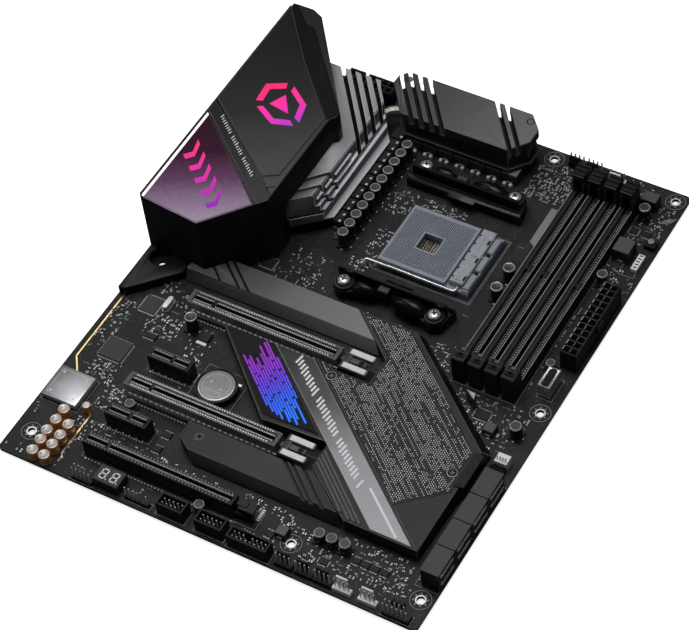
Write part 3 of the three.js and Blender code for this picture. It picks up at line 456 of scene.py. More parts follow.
class Piece:
    """Gathers closed solids, in board millimetres, into one mesh object that rides on a body."""

    def __init__(self, name, slot, body="board", replaces=()):
        self.name, self.slot, self.body, self.nodes = name, slot, body, replaces
        self.points, self.faces, self.looks, self.materials = [], [], [], []
        self.turn = Matrix.Identity(4)

    def look(self, material):
        if material not in self.materials:
            self.materials.append(material)
        return self.materials.index(material)

    def rings(self, rings, material, edge=None, caps=(True, True), lid=None, edge_rings=()):
        """Joins outlines of equal length, from the lowest to the highest, into one closed skin."""
        start, count = len(self.points), len(rings[0])
        body, rim = self.look(material), self.look(edge or material)
        for ring in rings:
            self.points += [self.turn @ Vector(p) for p in ring]
        for level in range(len(rings) - 1):
            a, b = start + level * count, start + (level + 1) * count
            for i in range(count):
                j = (i + 1) % count
                self.faces.append((a + i, a + j, b + j, b + i))
                self.looks.append(rim if level in edge_rings else body)
        last = start + (len(rings) - 1) * count
        if caps[0]:
            self.faces.append(tuple(range(start + count - 1, start - 1, -1)))
            self.looks.append(body)
        if caps[1]:
            self.faces.append(tuple(range(last, last + count)))
            self.looks.append(self.look(lid or material))

    def prism(self, outline, z0, z1, material, bevel=0.0, edge=None, lid=None):
        levels = [[(x, y, z0) for x, y in outline], [(x, y, z1 - bevel) for x, y in outline]]
        if bevel:
            levels.append([(x, y, z1) for x, y in inset(outline, bevel)])
        self.rings(levels, material, edge, lid=lid, edge_rings=(1,) if bevel else ())

    def box(self, x0, x1, y0, y1, z0, z1, material, bevel=0.0, edge=None, lid=None):
        self.prism(rectangle(x0, x1, y0, y1), z0, z1, material, bevel, edge, lid)

    def block(self, x, y, dx, dy, *look):
        """A box given by its middle and its half sizes in the plan."""
        self.box(x - dx, x + dx, y - dy, y + dy, *look)

    def round(self, x, y, profile, material, sides=14, edge=None, edge_rings=(), lid=None):
        """A turned body: profile is (radius, z) from the lowest to the highest ring."""
        levels = [[(px, py, z) for px, py in circle(x, y, r, sides)] for r, z in profile]
        self.rings(levels, material, edge, lid=lid, edge_rings=edge_rings)

    def wall(self, outer, inner, z0, z1, material, bevel=0.0, edge=None):
        """A frame between two outlines of equal length, with its top edges bevelled."""
        levels = [
            [(x, y, z0) for x, y in inner], [(x, y, z0) for x, y in outer],
            [(x, y, z1 - bevel) for x, y in outer], [(x, y, z1) for x, y in inset(outer, bevel)],
            [(x, y, z1) for x, y in inset(inner, -bevel)], [(x, y, z1 - bevel) for x, y in inner],
            [(x, y, z0) for x, y in inner],
        ]
        self.rings(levels, material, edge, caps=(False, False), edge_rings=(2, 4) if bevel else ())

    def bar(self, a, b, half, z0, z1, material, bevel=0.0, edge=None):
        """A straight strip between two points of the plan."""
        self.prism(strip_plan(a, b, half), z0, z1, material, bevel, edge)

    def cross(self, x, y, reach, half, z0, z1, material, turn):
        """The crossed recess of a screw head."""
        for angle in (turn, turn + math.pi / 2):
            dx, dy = reach * math.cos(angle), reach * math.sin(angle)
            self.bar((x - dx, y - dy), (x + dx, y + dy), half, z0, z1, material)

    def tube(self, route, radius, material, sides=10):
        """A round rod through the points of a route."""
        levels = []
        side = Vector((0, 0, 1))
        for i, point in enumerate(route):
            ahead = Vector(route[min(i + 1, len(route) - 1)]) - Vector(route[max(i - 1, 0)])
            if abs(ahead.normalized().dot(side)) > 0.9:
                side = Vector((1, 0, 0))
            across = ahead.cross(side).normalized()
            up = across.cross(ahead).normalized()
            turns = [2 * math.pi * k / sides for k in range(sides)]
            levels.append([
                tuple(Vector(point) + (across * math.cos(t) + up * math.sin(t)) * radius) for t in turns
            ])
        self.rings(levels, material)

    def mesh(self):
        mesh = bpy.data.meshes.new(self.name)
        mesh.from_pydata([tuple(CORNER + p * MM) for p in self.points], [], self.faces)
        return mesh

    def build(self):
        mesh = self.mesh()
        for material in self.materials:
            mesh.materials.append(material)
        mesh.polygons.foreach_set("material_index", self.looks)
        shape = bmesh.new()
        shape.from_mesh(mesh)
        bmesh.ops.recalc_face_normals(shape, faces=shape.faces)
        shape.to_mesh(mesh)
        shape.free()
        return finish_piece(self.name, mesh, self.slot, self.body, self.nodes)


def finish_piece(name, mesh, slot, body, nodes):
    mesh.polygons.foreach_set("use_smooth", [True] * len(mesh.polygons))
    mesh.set_sharp_from_angle(angle=SHARP_ANGLE)
    made = link(name, mesh)
    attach(made, body)
    if nodes:
        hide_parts(*nodes)
    return made


def cutter(outline, z0, z1):
    """A helper prism that is taken away from another piece and then removed."""
    tool = Piece("cutter", "circuit_board")
    tool.prism(outline, z0, z1, BLACK)
    return link("cutter", tool.mesh())


def clean(shape):
    """Joins the doubled corners of a shape and the triangles of its flat faces."""
    bmesh.ops.remove_doubles(shape, verts=shape.verts, dist=WELD * MM)
    bmesh.ops.dissolve_limit(shape, angle_limit=FLAT_ANGLE, verts=shape.verts, edges=shape.edges)


def node_shape(node, cuts=(), lower_to=None):
    """A copy of a CAD node's mesh in whole faces, with cuts made and its top lowered if asked."""
    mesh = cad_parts[node].data.copy()
    shape = bmesh.new()
    shape.from_mesh(mesh)
    clean(shape)
    if lower_to is not None:
        top = CORNER.z + lower_to * MM
        for vertex in shape.verts:
            vertex.co.z = min(vertex.co.z, top)
    shape.to_mesh(mesh)
    shape.free()
    mesh.materials.clear()
    if cuts:
        body = link("carved", mesh)
        tools = [cutter(*cut) for cut in cuts]
        for tool in tools:
            modifier = body.modifiers.new("cut", "BOOLEAN")
            modifier.operation, modifier.solver, modifier.object = "DIFFERENCE", "EXACT", tool
        bpy.context.view_layer.update()
        mesh = bpy.data.meshes.new_from_object(body.evaluated_get(bpy.context.evaluated_depsgraph_get()))
        mesh.materials.clear()
        for made in (body, *tools):
            bpy.data.objects.remove(made)
    return mesh


def softened(node, name, slot, width, material, edge=None, body="board", pick=None, extra=(), cuts=(),
             lower_to=None, segments=1):
    """A CAD node's shape with its edges rounded off in the edge material (on most pieces a paler painted
    highlight), its faces given materials by where they look, which on some pieces paints light and shade.
    """
    mesh = node_shape(node, cuts, lower_to)
    for look in (material, edge or material, *extra):
        mesh.materials.append(look)
    shape = bmesh.new()
    shape.from_mesh(mesh)
    if cuts:
        clean(shape)
    for face in shape.faces:
        face.material_index = 0
        if pick:
            centre = (face.calc_center_median() - CORNER) / MM
            face.material_index = pick(centre, face.normal)
    shortest = 3 * width * MM
    folds = [e for e in shape.edges if e.is_manifold and e.calc_face_angle(0) > SHARP_ANGLE and e.is_convex]
    sharp = [e for e in folds if e.calc_length() > shortest]
    bmesh.ops.bevel(shape, geom=sharp, offset=width * MM, offset_type="OFFSET", segments=segments,
                    profile=0.5, affect="EDGES", clamp_overlap=False, material=1)
    shape.to_mesh(mesh)
    shape.free()
    return finish_piece(name, mesh, slot, body, (node,))


def moulded(node, slot, width, material=None, edge=None, **more):
    """A moulded part in its CAD shape: black, with paler edges as a painted highlight, if nothing else is
    asked.
    """
    return softened(node, node + "_moulded", slot, width, material or BLACK, edge or EDGE_GREY, **more)


def repaint(node, material):
    """A CAD node that stays as it is and takes a finished material."""
    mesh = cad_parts[node].data
    mesh.materials.clear()
    mesh.materials.append(material)


# ---- circuit board ----------------------------------------------------------------------------------
HOLES = [(x, y) for x in (10.16, 165.1, 237.49) for y in (16.51, 140.97, 298.45)]
HOLES = [(x, 275.59 if x < 20 and y > 200 else y) for x, y in HOLES]
COVERED_HOLE = HOLES[1]  # this one lies under the rear cover's foot
RING_INNER = 2.02
INK = 0.03  # how high printed marks stand
SOLDER_TOP = -1.55  # just inside the board's lower face
taken = []  # plan rectangles where no small part may stand


def claim(x0, x1, y0, y1):
    taken.append((x0, x1, y0, y1))


def free(x0, x1, y0, y1):
    return all(x1 < a or x0 > b or y1 < c or y0 > d for a, b, c, d in taken)


def build_mount_rings():
    rings = Piece("mounting_hole_rings", "plated_metal")
    circles = Piece("mounting_hole_circles", "printed_marks")
    for x, y in HOLES:
        claim(x - 6, x + 6, y - 6, y + 6)
        if (x, y) == COVERED_HOLE:
            continue
        rings.wall(circle(x, y, 2.8, 24), circle(x, y, RING_INNER, 24), 0.0, 0.06, TIN)
        for k in range(8):
            turn = k * math.pi / 4 + math.pi / 8
            dot_x, dot_y = x + 3.6 * math.cos(turn), y + 3.6 * math.sin(turn)
            rings.round(dot_x, dot_y, [(0.42, 0.0), (0.36, 0.06)], DIM_TIN, 10)
        circles.wall(circle(x, y, 5.5, 32), circle(x, y, 5.25, 32), 0.0, INK, DULL_PRINT)
        rings.wall(circle(x, y, 3.9, 24), circle(x, y, RING_INNER, 24), -1.86, -1.8, TIN)
    rings.build()
    circles.build()


def print_frame(marks, x0, x1, y0, y1, width=0.2):
    outline = rectangle(x0, x1, y0, y1)
    marks.wall(outline, inset(outline, width), 0.0, INK, DULL_PRINT)


def print_ticks(marks, rng, x, y, count, along="x", size=0.75):
    """A short row of plain ticks that stands where the board carries a part's printed reference."""
    for k in range(count):
        length = size * rng.choice((0.55, 0.8, 1.0))
        step = k * size * 0.8
        x0, y0 = (x + step, y) if along == "x" else (x, y + step)
        dx, dy = (size * 0.28, length) if along == "x" else (length, size * 0.28)
        marks.box(x0, x0 + dx, y0, y0 + dy, 0.0, INK, DULL_PRINT)
        if rng.random() < 0.6:
            marks.box(x0, x0 + size * 0.5, y0, y0 + size * 0.22, 0.0, INK + 0.001, DULL_PRINT)


# Thin bundles of copper under the mask: start, end, how many traces, spacing.
BUNDLES = [
    ((97, 196), (114, 206), 14, 1.1), ((97, 222), (114, 214), 12, 1.1), ((118, 185), (104, 170), 9, 1.2),
    ((128, 157), (118, 182), 8, 1.2), ((150, 184), (172, 160), 10, 1.2), ((172, 190), (186, 190), 18, 1.3),
    ((172, 214), (186, 220), 16, 1.3), ((60, 172), (82, 190), 8, 1.5), ((44, 172), (62, 190), 6, 1.6),
    ((186, 128), (196, 138), 12, 1.3), ((90, 128), (110, 134), 8, 1.3), ((30, 128), (42, 110), 6, 1.3),
    ((206, 150), (228, 150), 7, 1.3), ((66, 106), (76, 96), 6, 1.3), ((60, 44), (80, 50), 7, 1.2),
    ((44, 32), (60, 30), 5, 1.2), ((86, 30), (120, 30), 4, 1.2), ((150, 22), (176, 26), 6, 1.1),
]
GOLD_TRACES = [
    [(3.5, 115), (3.5, 68), (8.5, 61), (9.5, 59.5)], [(32, 38), (32, 12), (34, 9)], [(56, 4.2), (56, 1)],
    [(32, 38), (29.5, 41.5)],
]


def build_traces():
    traces = Piece("copper_traces", "circuit_board")
    for (ax, ay), (bx, by), count, pitch in BUNDLES:
        run = Vector((bx - ax, by - ay)).normalized()
        side = Vector((-run.y, run.x)) * pitch
        for k in range(count):
            shift = side * (k - count / 2)
            start, end = Vector((ax, ay)) + shift, Vector((bx, by)) + shift + run * (k % 3)
            traces.bar(start, end, 0.16, -0.02, 0.025, MASK)
    gold = Piece("audio_guard_traces", "plated_metal")
    for route in GOLD_TRACES:
        for a, b in zip(route, route[1:]):
            gold.bar(a, b, 0.42, 0.0, INK, GOLD)
    traces.build()
    gold.build()


# ---- small parts ------------------------------------------------------------------------------------
def resistor(parts, x, y, upright, size, material):
    """A chip resistor or capacitor: body and two tinned ends."""
    long, wide, high = size
    dull = high < 0.4 and int(x * 7 + y * 3) % 3 == 0
    dx, dy = (wide / 2, long / 2) if upright else (long / 2, wide / 2)
    end = long * 0.27
    parts.block(x, y, dx, dy, 0.0, high * 0.9, material)
    for s in (-1, 1):
        cx, cy = (x, y + s * (dy - end / 2)) if upright else (x + s * (dx - end / 2), y)
        ex, ey = (dx + 0.04, end / 2 + 0.03) if upright else (end / 2 + 0.03, dy + 0.04)
        parts.block(cx, cy, ex, ey, 0.0, high, DIM_TIN if dull else TIN)


DENSITY = 1.9
CHIP_SIZES = [(1.0, 0.55, 0.38), (1.3, 0.7, 0.45), (1.9, 1.1, 0.6)]
# Regions that hold chip resistors: x0, x1, y0, y1, how many, share of the bigger sizes.
SCATTERS = [
    (158, 186, 268, 293, 190, 0.35), (97, 112, 226, 243, 26, 0.1), (104, 114, 186, 214, 26, 0.2),
    (116, 142, 236, 243, 44, 0.15), (100, 112, 180, 190, 22, 0.2), (20, 60, 118, 134, 60, 0.2),
    (24, 44, 96, 112, 40, 0.3), (52, 66, 86, 112, 34, 0.4), (4, 14, 76, 112, 40, 0.1),
    (14, 30, 58, 74, 46, 0.2), (28, 42, 44, 60, 26, 0.5), (26, 34, 4, 36, 26, 0.2),
    (34, 56, 22, 36, 34, 0.2), (62, 82, 24, 50, 56, 0.3), (82, 132, 14, 32, 60, 0.2),
    (130, 160, 12, 33, 70, 0.3), (158, 184, 10, 28, 46, 0.5), (184, 232, 12, 33, 130, 0.3),
    (222, 233, 34, 100, 60, 0.1), (188, 236, 118, 139, 80, 0.35), (200, 232, 106, 118, 44, 0.4),
    (224, 240, 262, 292, 60, 0.3), (224, 243, 200, 245, 60, 0.25), (224, 231, 150, 236, 60, 0.1),
    (170, 186, 142, 160, 26, 0.3), (84, 150, 156, 166, 30, 0.1), (42, 66, 160, 180, 30, 0.4),
    (64, 92, 155, 182, 50, 0.3), (60, 74, 60, 76, 18, 0.3), (72, 84, 190, 200, 18, 0.5),
    (166, 224, 288, 303, 60, 0.2), (60, 84, 2, 22, 20, 0.2), (2, 26, 2, 36, 26, 0.2),
    (96, 140, 120, 132, 20, 0.1), (66, 100, 52, 62, 20, 0.2), (186, 224, 286, 292, 20, 0.1),
]


def build_scatter(rng):
    parts = Piece("chip_resistors", "plated_metal")
    marks = Piece("part_reference_marks", "printed_marks")
    for x0, x1, y0, y1, count, bigger in SCATTERS:
        for _ in range(int(count * DENSITY)):
            x = round(rng.uniform(x0, x1) / 0.9) * 0.9
            y = round(rng.uniform(y0, y1) / 0.9) * 0.9
            size = CHIP_SIZES[2 if rng.random() < bigger * 0.4 else 1 if rng.random() < bigger else 0]
            upright = rng.random() < 0.5
            reach_x, reach_y = (size[1], size[0]) if upright else (size[0], size[1])
            spot = (x - reach_x * 0.62, x + reach_x * 0.62, y - reach_y * 0.62, y + reach_y * 0.62)
            if not free(*spot):
                continue
            claim(*spot)
            resistor(parts, x, y, upright, size, rng.choice((CHIP, CHIP, CERAMIC, CHIP_GREY)))
        for _ in range(count // 6):
            x, y = rng.uniform(x0, x1), rng.uniform(y0, y1)
            if free(x - 0.4, x + 3, y - 0.4, y + 1.2):
                print_ticks(marks, rng, x, y, rng.choice((3, 4, 5)))
    parts.build()
    marks.build()


def small_chip(parts, x0, x1, y0, y1, top, leads, pitch, material):
    """A moulded chip with leads on its x sides, its y sides or all four."""
    claim(x0 - 1, x1 + 1, y0 - 1, y1 + 1)
    parts.prism(rectangle(x0, x1, y0, y1), 0.12, top, material, 0.12)
    parts.round(x0 + 1.0, y1 - 1.0, [(0.28, top - 0.02), (0.26, top + 0.01)], CHIP_GREY, 8)
    half, long = pitch * 0.2, 0.85
    for k in range(int((y1 - y0 - 0.6) / pitch) + 1 if "x" in leads else 0):
        y = y0 + 0.45 + k * pitch
        for low in (x0 - 0.75, x1 - 0.1):
            parts.box(low, low + long, y - half, y + half, 0.0, 0.3, TIN)
    for k in range(int((x1 - x0 - 0.6) / pitch) + 1 if "y" in leads else 0):
        x = x0 + 0.45 + k * pitch
        for low in (y0 - 0.75, y1 - 0.1):
            parts.box(x - half, x + half, low, low + long, 0.0, 0.3, TIN)


# Chips: x0, x1, y0, y1, height, sides with leads, lead pitch.
CHIPS = [
    (13.3, 27.4, 73.3, 86.8, 1.4, "xy", 0.9), (16, 25.6, 108.5, 119.5, 1.0, "xy", 0.9),
    (28.5, 35.5, 94.2, 97.6, 1.1, "y", 1.3), (72.5, 77.3, 43.2, 46.8, 1.3, "y", 1.2),
    (72.5, 77.3, 33.4, 37.2, 1.3, "y", 1.2), (197, 201, 20, 23.6, 1.2, "y", 1.0),
    (202.3, 206.3, 20, 23.6, 1.2, "y", 1.0), (207.6, 211.6, 20, 23.6, 1.2, "y", 1.0),
    (212.9, 216.9, 20, 23.6, 1.2, "y", 1.0), (182.5, 187.3, 12.4, 16.4, 1.2, "xy", 0.9),
    (208, 216, 124, 130, 1.1, "xy", 0.8), (224.6, 229, 268, 272.6, 1.0, "xy", 0.9),
    (231.6, 236, 268.4, 272.4, 1.0, "y", 1.0), (58, 66, 163, 170, 1.0, "xy", 0.9),
    (76, 82, 158, 163, 1.1, "x", 1.1), (226, 231.4, 206, 211, 1.0, "x", 1.1),
    (150.5, 155, 14.5, 18.5, 1.0, "y", 1.0), (45.5, 50, 27, 31, 1.0, "y", 1.0),
]


def build_chips():
    parts = Piece("surface_chips", "chip_package")
    for x0, x1, y0, y1, top, leads, pitch in CHIPS:
        small_chip(parts, x0, x1, y0, y1, top, leads, pitch, CHIP_GREY if x1 - x0 > 9 else CHIP)
    # The white five-way socket near the right edge.
    claim(236.4, 241.2, 243.8, 256.2)
    parts.box(237.0, 240.6, 244.4, 255.6, 0.1, 2.6, WHITE, 0.2)
    for k in range(5):
        parts.box(237.8, 239.8, 245.6 + 2.1 * k, 246.4 + 2.1 * k, 2.4, 2.64, PIN_DARK)
    # The power chip beside the upper long slot, with its two capacitors.
    claim(54, 63.5, 102, 113)
    parts.box(55.3, 61.8, 104.5, 110.5, 0.1, 1.8, CHIP, 0.25)
    parts.box(55.6, 61.5, 102.6, 104.6, 0.0, 0.5, WHITE)
    parts.box(56, 57.6, 110.4, 112.4, 0.0, 0.4, CERAMIC)
    parts.box(59.6, 61.2, 110.4, 112.4, 0.0, 0.4, CERAMIC)
    parts.build()
    crystal = Piece("clock_crystal", "metal_can")
    claim(26.5, 32, 112, 124)
    outline = [(29.3 + 1.75 * math.cos(t), (114.9 if math.sin(t) < 0 else 120.6) + 1.75 * math.sin(t))
               for t in (math.pi * (k + 0.5) / 6 for k in range(12))]
    crystal.prism(outline, 0.1, 3.4, STEEL, 0.4)
    flange = [(29.3 + (x - 29.3) * 1.22, 117.75 + (y - 117.75) * 1.06) for x, y in outline]
    crystal.prism(flange, 0.05, 0.6, STEEL, 0.1)
    crystal.build()


# ---- capacitors and coils ---------------------------------------------------------------------------
def black_can(parts, x, y, radius, height):
    claim(x - radius - 0.6, x + radius + 0.6, y - radius - 0.6, y + radius + 0.6)
    base = radius + 0.35
    parts.block(x, y, base, base, 0.05, 0.9, BLACK, 0.2)
    parts.box(x - 0.5, x + 0.5, y - base - 0.6, y - base + 0.1, 0.0, 0.35, TIN)
    parts.box(x + base - 0.1, x + base + 0.6, y - 0.5, y + 0.5, 0.0, 0.35, TIN)
    profile = [(radius * 0.93, 0.85), (radius * 0.97, 1.3), (radius * 0.9, 1.7), (radius, 2.2),
               (radius, height - 0.7), (radius * 0.93, height - 0.12), (radius * 0.86, height),
               (radius * 0.8, height - 0.12)]
    parts.round(x, y, profile, CAN_BLACK, 22, CAN_RIM, (4, 5, 6), lid=CAN_GREY)


BLACK_CANS = [(92.4, 195.0 + 7.0 * k, 3.05, 11.6) for k in range(11)] + [
    (183.0, 211.9, 3.3, 10.5), (183.2, 197.5, 3.3, 10.5), (49.7, 109.8, 3.4, 11), (49.6, 50.2, 2.8, 7),
    (114.6, 13.2, 2.9, 6), (177.3, 24.4, 3.0, 7.5), (184.2, 24.4, 3.0, 7.5), (191.7, 24.4, 3.0, 7.5),
    (233.4, 122.8, 3.2, 9), (229.4, 168.2, 2.5, 6), (228.1, 229.8, 2.9, 9.5), (227.9, 280.7, 3.1, 9.5),
]
GOLD_CANS = [
    (20.5, 32.6), (20.5, 25.2), (28.0, 25.4), (20.0, 17.7), (28.0, 18.0), (20.5, 11.3), (27.6, 11.4),
    (20.5, 3.9), (27.6, 3.9),
]


def build_capacitors():
    cans = Piece("black_capacitors", "capacitor_can")
    for x, y, radius, height in BLACK_CANS:
        black_can(cans, x, y, radius, height)
    cans.build()
    gold = Piece("gold_audio_capacitors", "audio_capacitor")
    for x, y, radius, height in [(x, y, 3.15, 6.2) for x, y in GOLD_CANS] + [(28.9, 40.3, 2.3, 5.0)]:
        claim(x - radius - 0.4, x + radius + 0.4, y - radius - 0.4, y + radius + 0.4)
        profile = [(radius * 0.95, 0.05), (radius, 0.5), (radius * 0.9, 1.2), (radius, 1.9),
                   (radius, height - 0.8), (radius * 0.95, height - 0.1), (radius * 0.82, height),
                   (radius * 0.76, height - 0.1)]
        gold.round(x, y, profile, COPPER_SLEEVE, 22, CAN_TOP, (5, 6), lid=CAN_TOP)
        mark = circle(x, y, radius * 0.62, 16)[6:11]
        gold.prism(mark, height - 0.12, height - 0.06, CHIP_GREY)
    gold.build()


def coil(parts, x0, x1, y0, y1, top, lid):
    claim(x0 - 0.5, x1 + 0.5, y0 - 0.8, y1 + 0.8)
    parts.box(x0, x1, y0, y1, 0.15, top, COIL, 0.35, EDGE_GREY, lid)
    mid = (x0 + x1) / 2
    for low in (y0 - 0.5, y1 - 0.15):
        parts.box(mid - 1.6, mid + 1.6, low, low + 0.65, 0.0, 1.6, DIM_TIN)


def build_coils():
    parts = Piece("power_coils", "power_coil")
    for k in range(7):
        x = 87.5 + 9.85 * k
        coil(parts, x, x + 9.2, 272.2, 280.4, 7.0, GREY_TAB if k == 6 else COIL)
        for dx in (2.6, 6.2):
            parts.box(x + dx - 0.9, x + dx + 0.9, 269.3, 271.3, 0.0, 1.9, TIN, 0.2)
    for y in row(203, 9.6, 8):
        coil(parts, 78.8, 86.0, y, y + 8.6, 7.0, COIL)
    for x0, x1, y0, y1, top in [(224.6, 234.2, 247.8, 258, 8.4), (222.4, 231.4, 286.4, 293.4, 8.0),
                                (217.5, 223.5, 116.5, 122.5, 4.2), (155.8, 161.8, 16.4, 22.2, 4.0)]:
        coil(parts, x0, x1, y0, y1, top, COIL_TOP)
    parts.build()
    ladder = Piece("power_stage_chips", "chip_package")
    for y in row(202.6, 4.85, 16):
        ladder.box(87.0, 88.0, y, y + 1.6, 0.0, 1.0, TIN, 0.1)
        ladder.box(86.6, 87.0, y + 2.2, y + 3.9, 0.0, 0.7, CHIP_GREY)
        ladder.box(84.3, 85.5, y + 0.5, y + 1.9, 6.95, 7.3, TIN, 0.1)
    ladder.build()


# ---- processor socket -------------------------------------------------------------------------------
CPU_X, CPU_Y = 136.0, 212.0
FIELD_X, FIELD_Y = CPU_X - 0.4, CPU_Y - 0.4  # middle of the pierced field
COVER_X, COVER_Y = (115.4, 155.8), (190.7, 232.5)
PIN_PITCH, PIN_COUNT, PIN_HALF, WINDOW_HALF = 1.0, 37, 0.32, 6.0
COVER_TOP, PIN_DEPTH = 6.0, 1.2
LEVER_X, LEVER_Y, LEVER_Z, LEVER_ARM = 162.5, 189.2, 4.0, 53.5


def build_socket_cover():
    """Sliding cover: a pierced field of pin holes inside a raised plain rim, with a square window."""
    cover = Piece("socket_cover_pierced", "processor_socket", "socket_cover", ("socket_cover",))
    (x0, x1), (y0, y1) = COVER_X, COVER_Y
    half = PIN_COUNT * PIN_PITCH / 2
    field = square(FIELD_X, FIELD_Y, half)
    cover.wall(rectangle(x0, x1, y0, y1), field, 3.6, COVER_TOP, SOCKET_BLUE, 0.2, SOCKET_PALE)
    top, floor = COVER_TOP - 0.15, COVER_TOP - PIN_DEPTH
    for i in range(PIN_COUNT):
        for j in range(PIN_COUNT):
            x, y = FIELD_X - half + (i + 0.5) * PIN_PITCH, FIELD_Y - half + (j + 0.5) * PIN_PITCH
            if max(abs(x - FIELD_X), abs(y - FIELD_Y)) < WINDOW_HALF:
                continue
            cell, hole = square(x, y, PIN_PITCH / 2), square(x, y, PIN_HALF)
            steps = (cell, top), (hole, top), (hole, floor)
            levels = [[(a, b, z) for a, b in outline] for outline, z in steps]
            cover.rings(levels, SOCKET_BLUE, PIN_DARK, (False, True), PIN_DARK, (1,))
    window = square(FIELD_X, FIELD_Y, WINDOW_HALF + 0.5)
    cover.wall(window, inset(window, 0.9), 3.6, COVER_TOP - 0.1, SOCKET_BLUE, 0.12)
    cover.box(x0 + 0.4, x0 + 1.6, y0 + 14, y0 + 16, COVER_TOP - 0.3, COVER_TOP - 0.04, SOCKET_PALE)
    corner_mark = [(x0 + 0.5, y1 - 2.6), (x0 + 2.6, y1 - 0.5), (x0 + 0.5, y1 - 0.5)]
    cover.prism(corner_mark, COVER_TOP - 0.3, COVER_TOP - 0.02, SOCKET_PALE)
    cover.build()


def build_socket_base(rng):
    """Fixed base with golden parts in its window, and the cam box with its hump, whose small pale bits on the
    outer blocks are painted highlights.
    """
    base = Piece("socket_base_detailed", "processor_socket", replaces=("socket_base",))
    (x0, x1), (y0, y1) = COVER_X, COVER_Y
    window = square(FIELD_X, FIELD_Y, WINDOW_HALF)
    base.wall(rectangle(x0, x1 + 13.6, y0, y1), window, 0.2, 3.3, SOCKET_BLUE, 0.2)
    cam = x1 + 1.4
    base.box(cam, cam + 8.2, y0 + 2.2, y1 - 0.1, 3.3, 7.2, SOCKET_PALE, 0.5)
    base.box(cam + 8.2, cam + 12.2, y0 + 0.4, y1 - 1.6, 3.3, 4.6, SOCKET_BLUE, 0.3)
    for k, y in enumerate((y0 + 1.5, y0 + 15, y0 + 28.6)):
        base.box(cam + 8.4, cam + 12.0, y, y + 10.6, 4.6, 5.9, SOCKET_BLUE, 0.5, SOCKET_PALE)
        base.box(cam + 6.6, cam + 7.7, y + 3.2, y + 6.6, 7.1, 7.32, PIN_DARK)
        # Small pale bits on the outer blocks: painted highlights.
        base.box(cam + 8.1, cam + 8.5, y + 8.4, y + 9.4, 5.6, 6.6, TIN)
        if k:
            base.box(cam + 9.2, cam + 11.4, y - 1.9, y - 1.1, 4.6, 6.0, PIN_DARK)
    for y in row(y0 + 5, 6.2, 6):
        base.box(cam + 0.35, cam + 1.25, y, y + 1.1, 7.1, 7.3, PIN_DARK)
    for y in row(y0 + 5.5, 12.5, 3):
        cam_ticks(base, rng, cam + 3.0, y)
    for y in row(y0 + 4, 18, 2):
        base.box(cam + 2.6, cam + 6.2, y, y + 0.25, 7.15, 7.25, PIN_DARK)
    base.box(x0 - 0.5, x0 + 0.1, y0 + 4, y0 + 9, 0.3, 3.0, SOCKET_BLUE, 0.15)
    base.build()
    parts = Piece("socket_window_parts", "plated_metal")
    for i in range(4):
        for j in range(8):
            x, y = FIELD_X - 4.9 + 3.1 * i, FIELD_Y - 4.7 + 1.35 * j
            parts.box(x - 0.7, x + 0.9, y - 0.36, y + 0.36, 0.1, 0.8, CERAMIC)
            for s in (-0.75, 0.95):
                parts.block(x + s, y, 0.25, 0.38, 0.05, 0.85, GOLD if i % 2 else TIN)
    parts.build()


def cam_ticks(piece, rng, x, first):
    """Shallow plain ticks on the cam box, where its moulded rating stands."""
    for y in row(first, 0.8, 8):
        piece.box(x, x + rng.choice((1.6, 2.2, 2.4)), y, y + 0.28, 7.18, 7.24, SOCKET_BLUE)


def build_lever():
    lever = Piece("socket_lever_rod", "socket_lever", "socket_lever", ("socket_lever",))
    x0, bend, nip = LEVER_X - LEVER_ARM, 1.4, 0.42
    plan = [(x0, LEVER_Y - 4.8), (x0, LEVER_Y - bend), (x0 + nip, LEVER_Y - nip), (x0 + bend, LEVER_Y),
            (x0 + 12, LEVER_Y), (x0 + 16, LEVER_Y + 0.25), (LEVER_X - 5, LEVER_Y), (LEVER_X - bend, LEVER_Y),
            (LEVER_X - nip, LEVER_Y + nip), (LEVER_X, LEVER_Y + bend), (LEVER_X, COVER_Y[1] - 2.8)]
    route = [(x, y, LEVER_Z) for x, y in plan]
    lever.tube(route, 0.88, STEEL, 12)
    lever.build()


BAR_NEAR, BAR_FAR, BAR_TOP = 39.0, 40.7, 13.9
BRACKET_SHELF, LOBE_FOOT = 6.9, 6.4
SCREW_X, SCREW_Y = 27, 45
# Lobes: place from the processor's centre in X and Y, half length, half width, height, lean.
LOBES = [(-15.0, 44.6, 8.0, 4.3, 5.4, -1), (12.2, 44.8, 11.4, 4.9, 6.6, 1)]


def bracket_span(side, near, far):
    """The band of Y between two distances from the processor's centre, on one side of it."""
    return sorted((CPU_Y + side * near, CPU_Y + side * far))


def bracket_lobe(piece, side, along, away, half_length, half_width, height, lean):
    """A glossy egg-shaped swelling, wider at the end that lean points to."""
    x, y = CPU_X + along, CPU_Y + side * away
    egg = []
    for k in range(28):
        turn = 2 * math.pi * k / 28
        swell = 1 + 0.28 * lean * math.cos(turn)
        egg.append((half_length * math.cos(turn), half_width * math.sin(turn) * swell))
    levels = []
    for step in range(8):
        rise = math.radians(12 * step)
        shrink, z = math.cos(rise), LOBE_FOOT + height * math.sin(rise)
        levels.append([(x + dx * shrink, y + dy * shrink, z) for dx, dy in egg])
    piece.rings(levels, BRACKET_BLACK)


